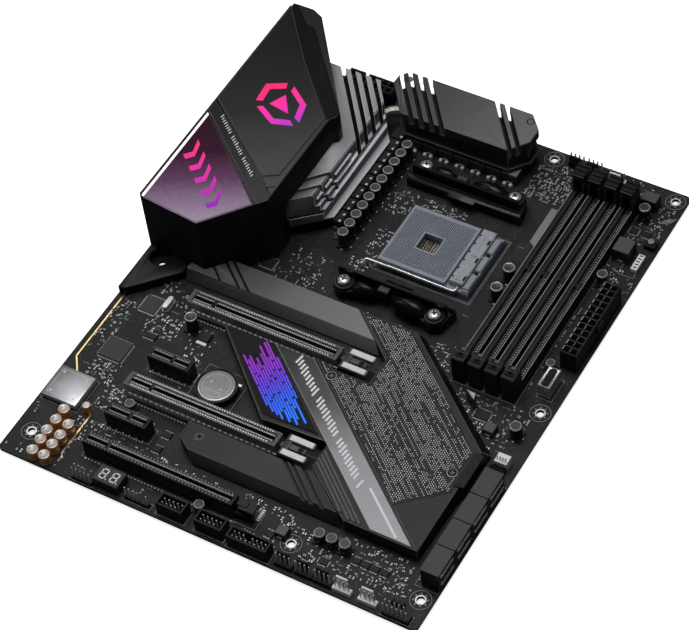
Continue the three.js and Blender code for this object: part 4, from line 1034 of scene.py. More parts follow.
def build_brackets():
    """CAD brackets without their low bar, and the taller bar, clip tab and lobes that stand on them."""
    arms = Piece("cooler_bracket_bars_and_lobes", "cooler_bracket")
    for node, side in (("cooler_bracket_bottom", -1), ("cooler_bracket_top", 1)):
        low_bar = rectangle(CPU_X - 36, CPU_X + 36, *bracket_span(side, 31.5, 38.2))
        moulded(node, "cooler_bracket", 0.4, BRACKET_BLACK, BRACKET_EDGE, cuts=[(low_bar, BRACKET_SHELF, 14)])
        claim(CPU_X - 36, CPU_X + 36, *bracket_span(side, 34, 52))
        bar, tab = bracket_span(side, BAR_NEAR, BAR_FAR), bracket_span(side, BAR_FAR - 0.1, 45.0)
        arms.box(CPU_X - 32.4, CPU_X + 31.4, *bar, BRACKET_SHELF, BAR_TOP, BRACKET_BLACK, 0.25, BRACKET_EDGE)
        arms.box(CPU_X - 7.2, CPU_X - 0.6, *tab, 6.5, 11.8, BRACKET_BLACK, 0.5, BRACKET_EDGE, EDGE_GREY)
        for lobe in LOBES:
            bracket_lobe(arms, side, *lobe)
        for s in (-1, 1):
            ring = [(5.3, 8.75), (5.3, 8.95), (4.3, 9.05), (4.2, 8.8)]
            arms.round(CPU_X + s * SCREW_X, CPU_Y + side * SCREW_Y, ring, BLACK_SATIN, 24)
    arms.build()
    screws = Piece("bracket_pan_screws", "screw", replaces=["bracket_screw_%d" % k for k in (1, 2, 3, 4)])
    head = [(1.7, -3.2), (1.7, 9.0), (3.5, 9.05), (3.6, 9.6), (3.3, 10.5), (2.5, 11.15), (1.3, 11.38)]
    for sx in (-1, 1):
        for sy in (-1, 1):
            x, y = CPU_X + sx * SCREW_X, CPU_Y + sy * SCREW_Y
            screws.round(x, y, head, STEEL, 22)
            screws.cross(x, y, 1.7, 0.42, 10.9, 11.39, PIN_DARK, 0.5 + sx * 0.3 + sy * 0.2)
    screws.build()
    repaint("socket_backplate", brushed("backplate_steel", (0.16, 0.16, 0.17), 0.38, 1.0))


# ---- memory -----------------------------------------------------------------------------------------
MEMORY_X = row(191, 9.45, 4)
MEMORY_KEY_Y = 217.5
MEMORY_TOP = 8.55  # just inside the top face of a slot
MEMORY_RAIL = (149.6, 275.6)
MEMORY_LATCH_TOP = 17.95


def memory_side(rails, contacts, x, s):
    """Half of a slot's top: its outer line in pale grey as a painted highlight, its inner line, and the
    contacts along them, pale on the right side and dark on the left as painted light and shade.
    """
    rails.box(x + s * 3.35 - 0.13, x + s * 3.35 + 0.13, *MEMORY_RAIL, MEMORY_TOP, 8.8, MEMORY_LINE, 0.05)
    rails.box(x + s * 1.15 - 0.1, x + s * 1.15 + 0.1, 150, 275.4, MEMORY_TOP, 8.72, COIL_TOP, 0.04)
    # Pale on the right side, dark on the left: painted light and shade.
    contact, solder = (DIM_TIN, TIN) if s > 0 else (COIL_TOP, SHADOW_BLACK)
    for y in row(150.8, 1.7, 72):
        if abs(y - MEMORY_KEY_Y) > 2.2:
            contacts.block(x + s * 0.62, y, 0.16, 0.3, 6.2, 7.9, contact)
            contacts.block(x + s * 2.2, y, 0.24, 0.22, 8.5, 8.66, solder)


def build_memory():
    claim(186.5, 224, 139, 289)
    rails = Piece("memory_slot_rails", "memory_slot")
    contacts = Piece("memory_slot_contacts", "memory_slot")
    pins = Piece("memory_solder_pins", "plated_metal")
    for k, x in enumerate(MEMORY_X):
        moulded("dimm_slot_%d" % (k + 1), "memory_slot", 0.22)
        for s in (-1, 1):
            memory_side(rails, contacts, x, s)
            for y in row(151, 2.1, 60):
                pins.block(x + s * 1.9, y, 0.25, 0.25, -2.2, SOLDER_TOP, DIM_TIN)
        rails.block(x, MEMORY_KEY_Y, 0.75, 1.2, 2.4, 8.6, BLACK, 0.1)
        for y in (141.2, 145.6):
            rails.box(x - 3.5, x + 3.5, y, y + 0.7, MEMORY_LATCH_TOP, 18.2, EDGE_GREY, 0.08)
        rails.box(x - 1.2, x + 1.2, 147.2, 149.3, 17.9, 18.15, COIL_TOP, 0.08)
        moulded("dimm_latch_%d" % (k + 1), "memory_latch", 0.25, body="memory_latch_%d" % (k + 1))
    rails.build()
    contacts.build()
    pins.build()


# ---- expansion slots --------------------------------------------------------------------------------
SLOT_X, SLOT_TOP = 43.0, 11.2
LONG_SLOT, SHORT_SLOT, SLOT_KEY = 89.0, 25.0, 14.2
LONG_ROWS, SHORT_ROWS = (122.0, 61.04, 20.4), (81.36, 40.7)
ARMOUR_TOP = 11.75
LATCH_X = (136.0, 151.0)


def slot_contacts(piece, length, y, material):
    """Two rows of spring contacts down a slot's groove, on both sides of its key."""
    for x in row(SLOT_X + 2.5, 1.0, int(length) - 4):
        if abs(x - SLOT_X - SLOT_KEY) >= 1.2:
            for s in (-1, 1):
                piece.block(x, y + s * 1.5, 0.24, 0.42, SLOT_TOP - 1.6, SLOT_TOP + 0.04, material)


def build_long_slot(contacts, pins, k, y):
    """A long slot; the lowest one has no armour, so its side ribs and top windows show."""
    plain = k == 2
    claim(SLOT_X - 0.6, SLOT_X + LONG_SLOT + 20, y - 5.5, y + 5.5)
    moulded("pcie_x16_slot_%d" % (k + 1), "expansion_slot", 0.2)
    slot_contacts(contacts, LONG_SLOT, y, DIM_TIN if plain else CONTACT)
    for x in row(SLOT_X + 2.4, 2, 42):
        for s in (-1, 1):
            pins.block(x, y + s * 1.4, 0.28, 0.28, -2.3, SOLDER_TOP, DIM_TIN)
    for x in row(SLOT_X + 1.8, 2.0, 43):
        contacts.box(x - 0.42, x + 0.42, y - 6.2, y - 5.65, 0.02, 0.2, TIN)
        for s in (-1, 1) if plain else ():
            side = y + s * 2.8
            contacts.box(x - 0.3, x + 0.5, side - 0.3, side + 0.3, SLOT_TOP - 0.02, SLOT_TOP + 0.03, GREY_TAB)
    for x in row(SLOT_X + 3, 2.1, 40) if plain else ():
        contacts.box(x - 0.3, x + 0.3, y - 3.85, y - 3.6, 1.2, 9.6, BLACK_SATIN)


def build_short_slot(contacts, pins, k, y):
    claim(SLOT_X - 0.6, SLOT_X + SHORT_SLOT + 1, y - 5, y + 5)
    moulded("pcie_x1_slot_%d" % (k + 1), "expansion_slot", 0.2)
    slot_contacts(contacts, SHORT_SLOT, y, DIM_TIN)
    for x in row(SLOT_X + 1.6, 1.6, 14):
        contacts.box(x - 0.35, x + 0.35, y - 5.6, y - 5.05, 0.02, 0.2, TIN)
        for s in (-1, 1):
            contacts.block(x, y + s * 2.8, 0.3, 0.3, SLOT_TOP - 0.02, SLOT_TOP + 0.03, GREY_TAB)
    for x in row(SLOT_X + 2.4, 4, 6):
        contacts.box(x - 0.5, x + 0.5, y - 3.95, y - 3.7, 0.6, 9.4, BLACK_SATIN, 0.1)
        pins.box(x - 0.35, x + 0.35, y - 4.75, y - 4.15, 0.0, 0.4, TIN)


def build_expansion_slots():
    contacts = Piece("expansion_slot_contacts", "expansion_slot")
    pins = Piece("expansion_slot_pins", "plated_metal")
    for k, y in enumerate(LONG_ROWS):
        build_long_slot(contacts, pins, k, y)
    for k, y in enumerate(SHORT_ROWS):
        build_short_slot(contacts, pins, k, y)
    contacts.build()
    pins.build()
    build_armour()


def build_armour():
    """Pressed steel shells round the two upper long slots: a frame on top, dashed tabs along the foot."""
    for k, y in enumerate(LONG_ROWS[:2]):
        node = "pcie_armour_%d" % (k + 1)
        shell = Piece(node + "_pressed", "slot_armour", replaces=(node,))
        x0, x1, half = SLOT_X - 0.65, SLOT_X + LONG_SLOT + 0.65, 4.4
        outer = rectangle(x0, x1, y - half, y + half)
        shell.wall(outer, inset(outer, 0.42), 1.0, ARMOUR_TOP - 0.1, NICKEL, 0.12, STEEL)
        shell.wall(inset(outer, 0.15), rectangle(SLOT_X + 1.5, SLOT_X + LONG_SLOT - 1.2, y - 2.3, y + 2.3),
                   11.35, ARMOUR_TOP, COIL_TOP, 0.1, NICKEL)
        for s in (-1, 1):
            side = y + s * 2.55
            shell.box(x0 + 2.0, x1 - 1.6, side - 0.16, side + 0.16, ARMOUR_TOP - 0.05, ARMOUR_TOP, STEEL)
            for j in range(55):
                x = SLOT_X + 3 + 1.5 * j + 0.5
                shell.block(x, y + s * 3.35, 0.3, 0.4, ARMOUR_TOP - 0.04, ARMOUR_TOP + 0.01, TIN)
        for x in row(x0 + 2.2, 3.2, 28):
            shell.box(x, x + 2.2, y - half - 0.45, y - half + 0.1, 4.4, 5.6, WHITE, 0.1)
            shell.box(x + 0.2, x + 1.5, y + half + 0.9, y + half + 1.5, 0.0, 0.25, DIM_TIN)
        shell.build()


def build_card_latches():
    for k, y in enumerate(LONG_ROWS):
        node, body = "pcie_latch_%d" % (k + 1), "card_latch_%d" % (k + 1)
        moulded(node, "card_latch", 0.25, COIL_TOP if k < 2 else BLACK_SATIN, EDGE_GREY, body=body)
        if k == 2:
            continue
        pads = Piece(node + "_pale_pads", "card_latch", body)
        for s in (-1, 1):
            a, b = sorted((y + s * 3.0, y + s * 6.3))
            pads.box(LATCH_X[0] + 1.0, LATCH_X[1] - 0.6, a, b, 10.9, 11.25, IVORY, 0.15)
            pads.box(LATCH_X[1] - 0.5, LATCH_X[1] + 0.1, a + 0.3, b - 0.3, 9.6, 11.0, GREY_TAB, 0.1)
        pads.round(LATCH_X[0] + 9.5, y, [(1.5, 9.2), (1.5, 10.5), (1.1, 10.7)], PIN_DARK, 14)
        pads.build()


# ---- rear cover -------------------------------------------------------------------------------------
SHROUD_TOP, SHROUD_BASE = 46.5, 45.7
MAIN_FIELD = [(1.2, 223.4), (52.5, 184.9), (60.3, 189.6), (61.3, 235.3), (29.9, 267.4), (1.2, 301.6)]
RIM_FIELD = [(54.0, 183.8), (63.7, 175.2), (63.7, 234.2), (62.2, 234.9), (61.1, 188.9), (53.2, 184.1)]
BAND_FIELD = [(1.2, 213.8), (60.2, 166.7), (64.0, 171.3), (63.8, 173.9), (1.2, 221.2)]
MIRROR_FIELD = [(3.3, 145.5), (38.2, 141.9), (58.0, 165.6), (3.3, 211.2)]


def slope(piece, points, material, foot=44.0):
    """A closed wedge under a sloping facet whose corners have their own heights."""
    piece.rings([[(x, y, foot) for x, y, _ in points], points], material)


def build_shroud():
    softened("io_shroud", "rear_cover_shell", "rear_cover", 0.45, SHROUD_WALL, lower_to=SHROUD_BASE,
             segments=2)
    plates = Piece("rear_cover_plates", "rear_cover")
    low = SHROUD_BASE - 0.6
    plates.prism(MAIN_FIELD, low, SHROUD_TOP - 0.05, SHROUD_PLATE, 0.35, DARK_EDGE)
    plates.prism(RIM_FIELD, low, SHROUD_TOP - 0.25, SHROUD_PLATE, 0.2, DARK_EDGE)
    plates.prism(BAND_FIELD, low, SHROUD_TOP - 0.1, SHROUD_BAND, 0.3, DARK_EDGE)
    plates.bar((59.0, 178.4), (62.8, 181.4), 0.3, SHROUD_TOP - 0.3, SHROUD_TOP - 0.1, PIN_DARK)
    ridge, valley, rim = SHROUD_TOP - 0.1, SHROUD_TOP - 1.1, SHROUD_TOP - 0.15
    slope(plates, [(62.9, 235.6, ridge), (66.2, 243.0, valley + 0.2), (22.0, 288.3, valley),
                   (3.6, 303.2, valley), (3.6, 300.4, ridge), (30.6, 268.2, ridge)], SHROUD_WALL)
    slope(plates, [(66.4, 242.6, valley + 0.3), (20.5, 301.4, rim), (14.0, 304.3, rim), (3.4, 304.3, rim),
                   (22.0, 288.4, valley)], SHROUD_PLATE)
    start, step, notch = Vector((6.5, 292.2)), Vector((1.95, -2.18)), Vector((1.1, -1.25))
    for k in range(13):
        at = start + step * k
        end = at + notch * (0.6 + 0.2 * (k % 3))
        plates.bar(at, end, 0.55, SHROUD_TOP - 0.3, SHROUD_TOP - 0.03, PIN_DARK)
    along = (Vector((59.6, 169.2)) - Vector((6.0, 212.6))).normalized()
    lean = Vector((0.25, 1.0)).normalized()
    for k in range(26):
        at = Vector((10.5, 211.6)) + along * (1.9 * k)
        if k % 9 != 8:
            end = at + lean * (1.9 if k % 3 else 2.5)
            plates.bar(at, end, 0.28, SHROUD_TOP - 0.2, SHROUD_TOP - 0.04, PRINT)
    plates.build()
    build_mirror_panel()
    build_emblem()


def build_mirror_panel():
    panel = Piece("rear_cover_mirror", "rear_cover")
    low = SHROUD_BASE - 0.4
    panel.prism(MIRROR_FIELD, low, SHROUD_TOP - 0.2, MIRROR, 0.25, DARK_EDGE)
    panel.build()
    glow = Piece("rear_cover_light_strip", "light_window")
    strip = [(1.9, 146.2), (3.15, 146.0), (3.15, 211.0), (1.9, 212.0)]
    glow.prism(strip, low, SHROUD_TOP - 0.15, STRIP_LIGHT, 0.2)
    start, along = Vector((8.0, 192.5)), Vector((43, -36.5)).normalized()
    rise = Vector((-1.5, -12.6))
    chevron = [(0.0, 0.0), (3.6, 0.0), (7.4, 0.5), (3.6, 1.0), (0.0, 1.0), (3.8, 0.5)]
    for k in range(5):
        corners = [start + along * (9.6 * k + u) + rise * v for u, v in chevron]
        glow.prism([tuple(c) for c in reversed(corners)], low, SHROUD_TOP - 0.02, GLYPH)
    glow.build()


def build_emblem():
    """A plain lit sign on the cover: a hexagonal ring, split in three, round a small triangle."""
    emblem = Piece("rear_cover_emblem", "light_window")
    cx, cy = 35.0, 234.0
    lean = Matrix.Rotation(math.radians(-38), 2)
    skew = lean @ Matrix(((1.55, 0), (0, 1.1))) @ lean.transposed()

    def at(radius, degrees):
        turn = math.radians(degrees)
        point = skew @ Vector((radius * math.cos(turn), radius * math.sin(turn)))
        return (cx + point.x, cy + point.y)

    for k in range(3):
        first = 90 + 120 * k
        arc = [at(11.8, first + d) for d in (8, 60, 112)] + [at(8.6, first + d) for d in (112, 60, 8)]
        emblem.prism(arc, SHROUD_BASE, SHROUD_TOP - 0.01, EMBLEM, 0.1)
    emblem.prism([at(5.6, 90 + 120 * k) for k in range(3)], SHROUD_BASE, SHROUD_TOP - 0.01, EMBLEM, 0.1)
    emblem.build()


def build_rear_ports():
    for node in ("display_port_block", "usb_stack_1", "usb_stack_2", "usb_stack_3", "lan_usb_stack"):
        softened(node, node + "_shell", "port_shell", 0.25, NICKEL, STEEL)
    moulded("audio_jack_block", "audio_jacks", 0.25)
    softened("io_shield", "io_shield_pressed", "rear_shield", 0.15, SHROUD_BAND, DARK_EDGE)
    trim = Piece("rear_port_trim", "port_shell")
    tints = ((0.5, 0.03, 0.03), (0.02, 0.12, 0.5), (0.02, 0.3, 0.08))
    linings = [surface("jack_lining_%d" % k, tint, 0.4) for k, tint in enumerate(tints)]
    trim.turn = Matrix(((0, 0, 1, 0), (0, 1, 0, 0), (-1, 0, 0, 0), (0, 0, 0, 1)))
    for k in range(3):
        for level, z in enumerate((6.6, 19.6)):
            y = 158 + 12.2 * k
            outer, inner = circle(-z, y, 3.6, 24), circle(-z, y, 1.9, 24)
            trim.wall(outer, inner, -1.15, -0.95, linings[(k + level) % 3], 0.05)
    trim.turn = Matrix.Identity(4)
    for y0, y1 in ((251, 265.5), (233.5, 248), (194.5, 209), (212, 229)):
        for z in (1.6, 9.0 if y0 != 212 else 8.6):
            mid = (y0 + y1) / 2
            trim.box(0.4, 7.8, mid - 4.9, mid + 4.9, z + 1.55, z + 3.65, linings[1])
            for j in range(4):
                trim.box(0.8, 6.4, mid - 3.8 + 2.2 * j, mid - 2.8 + 2.2 * j, z + 1.4, z + 1.6, GOLD)
    trim.build()


# ---- power stage heatsinks --------------------------------------------------------------------------
def build_power_heatsinks():
    flat, terrace, riser, shadow = 0, 2, 3, 4
    groove_floor, slot_floor = 13.2, 16

    def light_pick(centre, normal):
        """Blasted top, a painted highlight on the terraces, painted shade on the risers, and painted shadow
        in the grooves, the slots and the slanted faces at the far end.
        """
        if normal.z > 0.7:
            sunk = min(abs(centre.z - groove_floor), abs(centre.z - slot_floor)) < 0.3
            return shadow if sunk else terrace if 8 < centre.z < 25.5 else flat
        slanted = abs(normal.x) > 0.5 and abs(normal.y) > 0.4
        return shadow if slanted and centre.y > 225 else riser

    def dark_pick(centre, normal):
        # High upward faces take the sheen; lower and side faces take the darker plate grey as painted shade.
        return flat if normal.z > 0.7 and centre.z > 20 else 2

    grooves = [((48.0, 190.5), (76.0, 219.0)), ((52.0, 186.3), (80.0, 212.6)), ((60.0, 186.0), (86.0, 208.3))]
    cuts = [(strip_plan(a, b, 1.0), groove_floor, 40) for a, b in grooves]
    softened("vrm_heatsink_left", "left_heatsink_blasted", "light_heatsink", 0.18, LIGHT_METAL, LIGHT_EDGE,
             pick=light_pick, extra=(LIGHT_EDGE, LIGHT_RISER, SHADOW_BLACK), cuts=cuts)
    softened("vrm_heatsink_top", "top_heatsink_blasted", "dark_heatsink", 0.3, DARK_METAL, DARK_EDGE,
             pick=dark_pick, extra=(PLATE_DARK,))
    repaint("vrm_heatpipe", brushed("pipe_nickel", (0.22, 0.21, 0.19), 0.35, 0.6))
    claim(28, 83, 186, 290)
    claim(69, 160, 270, 303)
    claim(0, 67, 140, 305)
    claim(86, 96, 190, 275)
    details = Piece("heatsink_details", "dark_heatsink")
    details.box(84.2, 87.0, 196, 268, 0.05, 0.9, CHIP_GREY, 0.1)
    # Bright strips on the light heatsink's side: painted highlight.
    for y0, y1 in ((200.5, 206.2), (209.6, 216.4), (219.8, 237.0)):
        details.box(73.3, 75.0, y0, y1, 22.3, 23.0, LIGHT_EDGE, 0.15)
    for x in (77.5, 152.5):
        details.round(x, 296.5, [(2.2, 25.8), (2.2, 26.0), (1.6, 26.0), (1.5, 25.85)], DARK_EDGE, 20)
    details.build()


# ---- chipset cover ----------------------------------------------------------------------------------
COVER_LOW, COVER_HIGH = 9.2, 10.0
COVER_SCREWS = ((135.2, 109.0), (219.2, 83.0))
# The cover's slanted upper right edge as steps, so that small parts keep clear of it.
COVER_STEPS = [(126, 160, 158), (160, 170, 149), (170, 182, 141), (182, 195, 131), (195, 208, 120),
               (208, 230, 109)]
COVER_CORNER = [(203.2, 52.0), (224.0, 36.0), (225.0, 36.0), (225.0, 70.5)]
SIDE_BLOCK = [(223.4, 76.2), (228.6, 77.2), (228.6, 98.6), (223.4, 99.4)]
RIB_RUN = Vector((0.777, -0.63))
RIB_SIDE = Vector((0.63, 0.777))
DOT_FIELD = [(122.5, 115.6), (202.0, 53.6), (225.0, 73.2), (222.6, 76.0), (222.6, 98.6), (159.2, 152.3),
             (129.2, 152.3), (155.7, 131.0), (155.7, 112.9), (133.0, 112.9), (127.5, 115.6)]
BAND = [(98.6, 114.6), (199.6, 35.6), (222.4, 35.6), (121.6, 114.6)]
LED_FIELD = [(69.9, 114.1), (115.6, 73.0), (118.0, 72.8), (147.9, 73.9), (97.3, 114.4)]
LOWER_RIBS = [(155.6, 57.0), (184.8, 35.8), (198.2, 35.8), (155.6, 69.2)]
# Where the glow of each lit rib starts and ends along the rib.
GLOWS = [(22, 58), (26, 63), (24, 66), (31, 70), (27, 65), (33, 75), (25, 71), (20, 78), (29, 73), (19, 66),
         (18, 77), (31, 60)]


def inside(outline, x, y):
    hit = False
    for (ax, ay), (bx, by) in zip(outline, outline[1:] + outline[:1]):
        if (ay > y) != (by > y) and x < (bx - ax) * (y - ay) / (by - ay) + ax:
            hit = not hit
    return hit


def clipped(outline, origin, run):
    """Where the line origin + t * run enters and leaves a convex outline."""
    crossings = []
    for (ax, ay), (bx, by) in zip(outline, outline[1:] + outline[:1]):
        edge = Vector((bx - ax, by - ay))
        cross = run.x * edge.y - run.y * edge.x
        if abs(cross) < 1e-9:
            continue
        to_start = Vector((ax, ay)) - origin
        t = (to_start.x * edge.y - to_start.y * edge.x) / cross
        u = (to_start.x * run.y - to_start.y * run.x) / cross
        if 0 <= u <= 1:
            crossings.append(t)
    return (min(crossings), max(crossings)) if len(crossings) > 1 else None


def top_or_side(centre, normal):
    """The first material for faces that look up, the extra one for the rest."""
    return 0 if normal.z > 0.7 else 2


def build_chipset_cover(rng):
    softened("chipset_cover", "chipset_cover_body", "chipset_cover", 0.35, PLATE_DARK, DARK_EDGE,
             pick=top_or_side, extra=(SHROUD_WALL,), lower_to=COVER_LOW)
    claim(66, 230, 34, 102)
    claim(66, 130, 100, 116)
    for x0, x1, y1 in COVER_STEPS:
        claim(x0, x1, 98, y1)
    plates = Piece("chipset_cover_plates", "chipset_cover")
    plates.prism(DOT_FIELD, COVER_LOW - 0.6, COVER_HIGH - 0.35, PANEL_DARK, 0.2, DARK_EDGE)
    plates.prism(BAND, COVER_LOW - 0.6, COVER_HIGH, BAND_METAL, 0.25, LIGHT_EDGE)
    plates.prism(COVER_CORNER, COVER_LOW - 0.6, COVER_HIGH - 0.5, PLATE_DARK, 0.3, DARK_EDGE)
    plates.bar((187.6, 56.8), (213.4, 36.7), 0.62, COVER_HIGH - 0.1, COVER_HIGH + 0.03, PRINT)
    lean = Vector((0.15, 1.0)).normalized()
    for k in range(34):
        if k % 11 != 10:
            middle = Vector((115.1, 110.9)) + RIB_RUN * (2.6 * k)
            reach = lean * (2.1 if k % 3 else 2.8)
            plates.bar(middle - reach, middle + reach, 0.6, COVER_HIGH - 0.1, COVER_HIGH + 0.03, PRINT)
    for x, y in COVER_SCREWS:
        steps = (2.9, 0.5), (2.9, 0.1), (2.3, 0.05), (2.2, 0.25)
        head = [(radius, COVER_HIGH - depth) for radius, depth in steps]
        plates.round(x, y, head, PIN_DARK, 22, DARK_EDGE, (1, 2))
        plates.cross(x, y, 1.3, 0.28, COVER_HIGH - 0.3, COVER_HIGH - 0.12, DARK_EDGE, 0.4)
    plates.prism(SIDE_BLOCK, COVER_LOW - 0.5, COVER_HIGH + 0.15, BLACK_SATIN, 0.35, EDGE_GREY)
    plates.prism([(200.3, 132.3), (207.3, 127.9), (206.2, 132.0)], 0.05, 9.0, BLACK, 0.3, NICKEL, NICKEL)
    plates.build()
    build_ribs()
    build_dots(rng)


def build_ribs():
    ribs = Piece("light_window_ribs", "light_window", replaces=("led_light_window",))
    # The window's floor between the ribs, in the painted shadow black.
    ribs.prism(LED_FIELD, COVER_LOW - 0.3, COVER_HIGH - 0.5, SHADOW_BLACK)
    lit_ribs = Piece("light_window_streaks", "light_window")
    origin = Vector((69.9, 114.1))
    for k in range(13):
        base = origin + RIB_SIDE * (0.9 + 1.38 * k)
        span = clipped(LED_FIELD, base, RIB_RUN)
        if not span:
            continue
        a, b = base + RIB_RUN * (span[0] + 0.5), base + RIB_RUN * (span[1] - 0.5)
        ribs.bar(a, b, 0.42, COVER_HIGH - 0.6, COVER_HIGH, BLACK, 0.12, BLACK_SATIN)
        if k < len(GLOWS):
            start, end = max(span[0] + 1, GLOWS[k][0]), min(span[1] - 1.5, GLOWS[k][1])
            first, second = 0.2 + 0.07 * (k % 4), 0.6 + 0.08 * (k % 3)
            shares = (0, first, first + 0.025, second, second + 0.025, 1)
            cuts = [start + (end - start) * share for share in shares]
            for low, high in zip(cuts[::2], cuts[1::2]):
                a, b = base + RIB_RUN * low, base + RIB_RUN * high
                lit_ribs.bar(a, b, 0.47, COVER_HIGH - 0.5, COVER_HIGH + 0.03, STREAK, 0.08)
    ribs.build()
    lit_ribs.build()
    lower = Piece("chipset_cover_lower_ribs", "chipset_cover")
    for k in range(5):
        base = Vector((156.0, 55.6)) + RIB_SIDE * (0.6 + 1.95 * k)
        span = clipped(LOWER_RIBS, base, RIB_RUN)
        if span:
            a, b = base + RIB_RUN * (span[0] + 0.3), base + RIB_RUN * (span[1] - 0.3)
            lower.bar(a, b, 0.62, COVER_LOW - 0.3, COVER_HIGH - 0.1, COIL_TOP, 0.2, DARK_EDGE)
    lower.build()


def build_dots(rng):
    """Rows of small raised lozenges, brighter along streaks that run with the band."""
    dots = Piece("chipset_cover_dots", "chipset_cover")
    field = inset(DOT_FIELD, 0.9)
    step_run, step_side = 1.5, 1.06
    top, floor = COVER_HIGH - 0.08, COVER_HIGH - 0.4
    centre = Vector((175, 100))
    for line in range(-55, 56):
        starts = rng.uniform(-70, 10), rng.uniform(-10, 60)
        shades = [(start, start + rng.uniform(8, 42)) for start in starts]
        for column in range(-62, 63):
            at = centre + RIB_SIDE * (line * step_side) + RIB_RUN * ((column + (line % 2) * 0.5) * step_run)
            if not inside(field, at.x, at.y) or min((at - Vector(p)).length for p in COVER_SCREWS) < 3.4:
                continue
            run = column * step_run
            shaded = any(low < run < high for low, high in shades) and line % 3
            strong = rng.random() < (0.15 if shaded else 0.9)
            a, b = RIB_RUN * 0.6, RIB_SIDE * 0.44
            corners = [at - a, at - b, at + a, at + b]
            levels = [[(c.x, c.y, floor) for c in corners],
                      [(at.x + (c.x - at.x) * 0.7, at.y + (c.y - at.y) * 0.7, top) for c in corners]]
            dots.rings(levels, DOT_BRIGHT if strong else DOT_DIM, caps=(False, True))
    dots.build()


def build_fan():
    """The small blower under the cover: blades and finned base keep their CAD shape, the hub gets rings."""
    repaint("chipset_fan_rotor", BLACK_SATIN)
    repaint("chipset_heatsink", DARK_METAL)
    hub = Piece("chipset_fan_hub_mark", "fan", body="chipset_fan")
    hub.wall(circle(187, 99, 6.6, 32), circle(187, 99, 5.9, 32), 7.58, 7.68, GREY_TAB)
    hub.wall(circle(187, 99, 4.2, 28), circle(187, 99, 3.9, 28), 7.58, 7.66, GREY_TAB)
    hub.build()


# ---- storage plates ---------------------------------------------------------------------------------
def plate_screw(piece, x, y, top):
    head = [(2.7, top - 0.3), (2.7, top + 0.15), (2.3, top + 0.4), (0.95, top + 0.4), (0.8, top + 0.1)]
    piece.round(x, y, head, EDGE_GREY, 22, DARK_EDGE, (1,))
    piece.cross(x, y, 1.1, 0.3, top + 0.3, top + 0.43, PIN_DARK, 0.5)


def build_storage_plates():
    claim(25, 150, 134, 156)
    claim(82, 186, 33, 55)

    def pick(centre, normal):
        # Groove floors and the plates' sides take the black wall colour as painted shade.
        groove = normal.z > 0.95 and centre.z < 8.8
        return 0 if normal.z > 0.3 and not groove else 2

    grooves = [((36.0, 149.8), (62.0, 128.7)), ((41.0, 155.2), (70.0, 131.7)), ((47.0, 155.2), (76.0, 131.7))]
    cuts = [(strip_plan(a, b, 0.6), 7.5, 20) for a, b in grooves]
    softened("m2_heatsink_upper", "upper_storage_plate", "storage_heatsink", 0.25, PLATE_METAL, DARK_EDGE,
             pick=pick, extra=(SHROUD_WALL,), cuts=cuts)
    grooves = [((139.0, 54.5), (168.0, 31.0)), ((143.3, 54.5), (172.3, 31.0)), ((149.8, 54.5), (178.8, 31.0))]
    cuts = [(strip_plan(a, b, 0.75), 7.4, 20) for a, b in grooves]
    softened("m2_heatsink_lower", "lower_storage_plate", "storage_heatsink", 0.25, LOWER_PLATE, DARK_EDGE,
             pick=pick, extra=(SHROUD_WALL,), cuts=cuts)
    screws = Piece("storage_plate_screws", "screw")
    plate_screw(screws, 34.6, 148.0, 9.0)
    plate_screw(screws, 94.6, 46.5, 9.0)
    screws.build()


# ---- drive, power and display sockets ---------------------------------------------------------------
SATA_Y, SATA_PITCH, SATA_WIDTH = 24.2, 16.9, 16.4


def build_drive_sockets():
    trim = Piece("drive_socket_trim", "drive_socket")
    for k in range(4):
        node = "sata_stack_%d" % (k + 1)
        # The tops take a paler grey, a painted sheen; the sides stay plain black.
        moulded(node, "drive_socket", 0.2, SOCKET_GREY, DARK_EDGE, pick=top_or_side,
                extra=(BLACK,))
        y = SATA_Y + SATA_PITCH * k
        claim(228, 244, y - 1, y + SATA_WIDTH + 1)
        for z in (4.4, 10.4):
            trim.box(243.1, 243.95, y + 1.6, y + 14.8, z, z + 0.3, WHITE)
            trim.box(243.3, 243.9, y + 13.4, y + 14.0, z - 1.9, z + 0.3, WHITE)
            trim.box(243.2, 243.9, y + 2.4, y + 12.8, z - 1.2, z - 1.0, TIN)
        for s in (1.6, SATA_WIDTH - 1.9):
            trim.box(231.0, 233.9, y + s, y + s + 0.35, 0.05, 1.1, DIM_TIN)
        for j in range(7):
            trim.box(231.4, 233.8, y + 3.8 + 1.27 * j, y + 4.25 + 1.27 * j, 0.05, 0.35, DIM_TIN)
    trim.build()


POWER_PITCH = 4.2


def power_pins(pins, columns, rows, x0, y0, top):
    for x in row(x0, POWER_PITCH, columns):
        for y in row(y0, POWER_PITCH, rows):
            pins.block(x, y, 0.5, 0.5, 0.5, top, TIN, 0.2)


def build_power_sockets():
    for node in ("atx_power_24pin", "cpu_power_8pin", "cpu_power_4pin"):
        moulded(node, "power_socket", 0.16)
    claim(226, 244, 168, 226)
    claim(33, 70, 288, 305)
    pins = Piece("power_socket_pins", "plated_metal")
    power_pins(pins, 2, 12, 235.7, 174.5, 9.5)
    top = (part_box("atx_power_24pin")[1].z - CORNER.z) / MM
    for y in row(174.5, POWER_PITCH, 12):
        for x in (233.9, 237.9):
            pins.block(x, y, 0.13, 1.3, top - 0.15, top, TIN)
    power_pins(pins, 4, 2, 51.2, 295.2, 9.0)
    power_pins(pins, 2, 2, 39.2, 295.2, 9.0)
    pins.build()


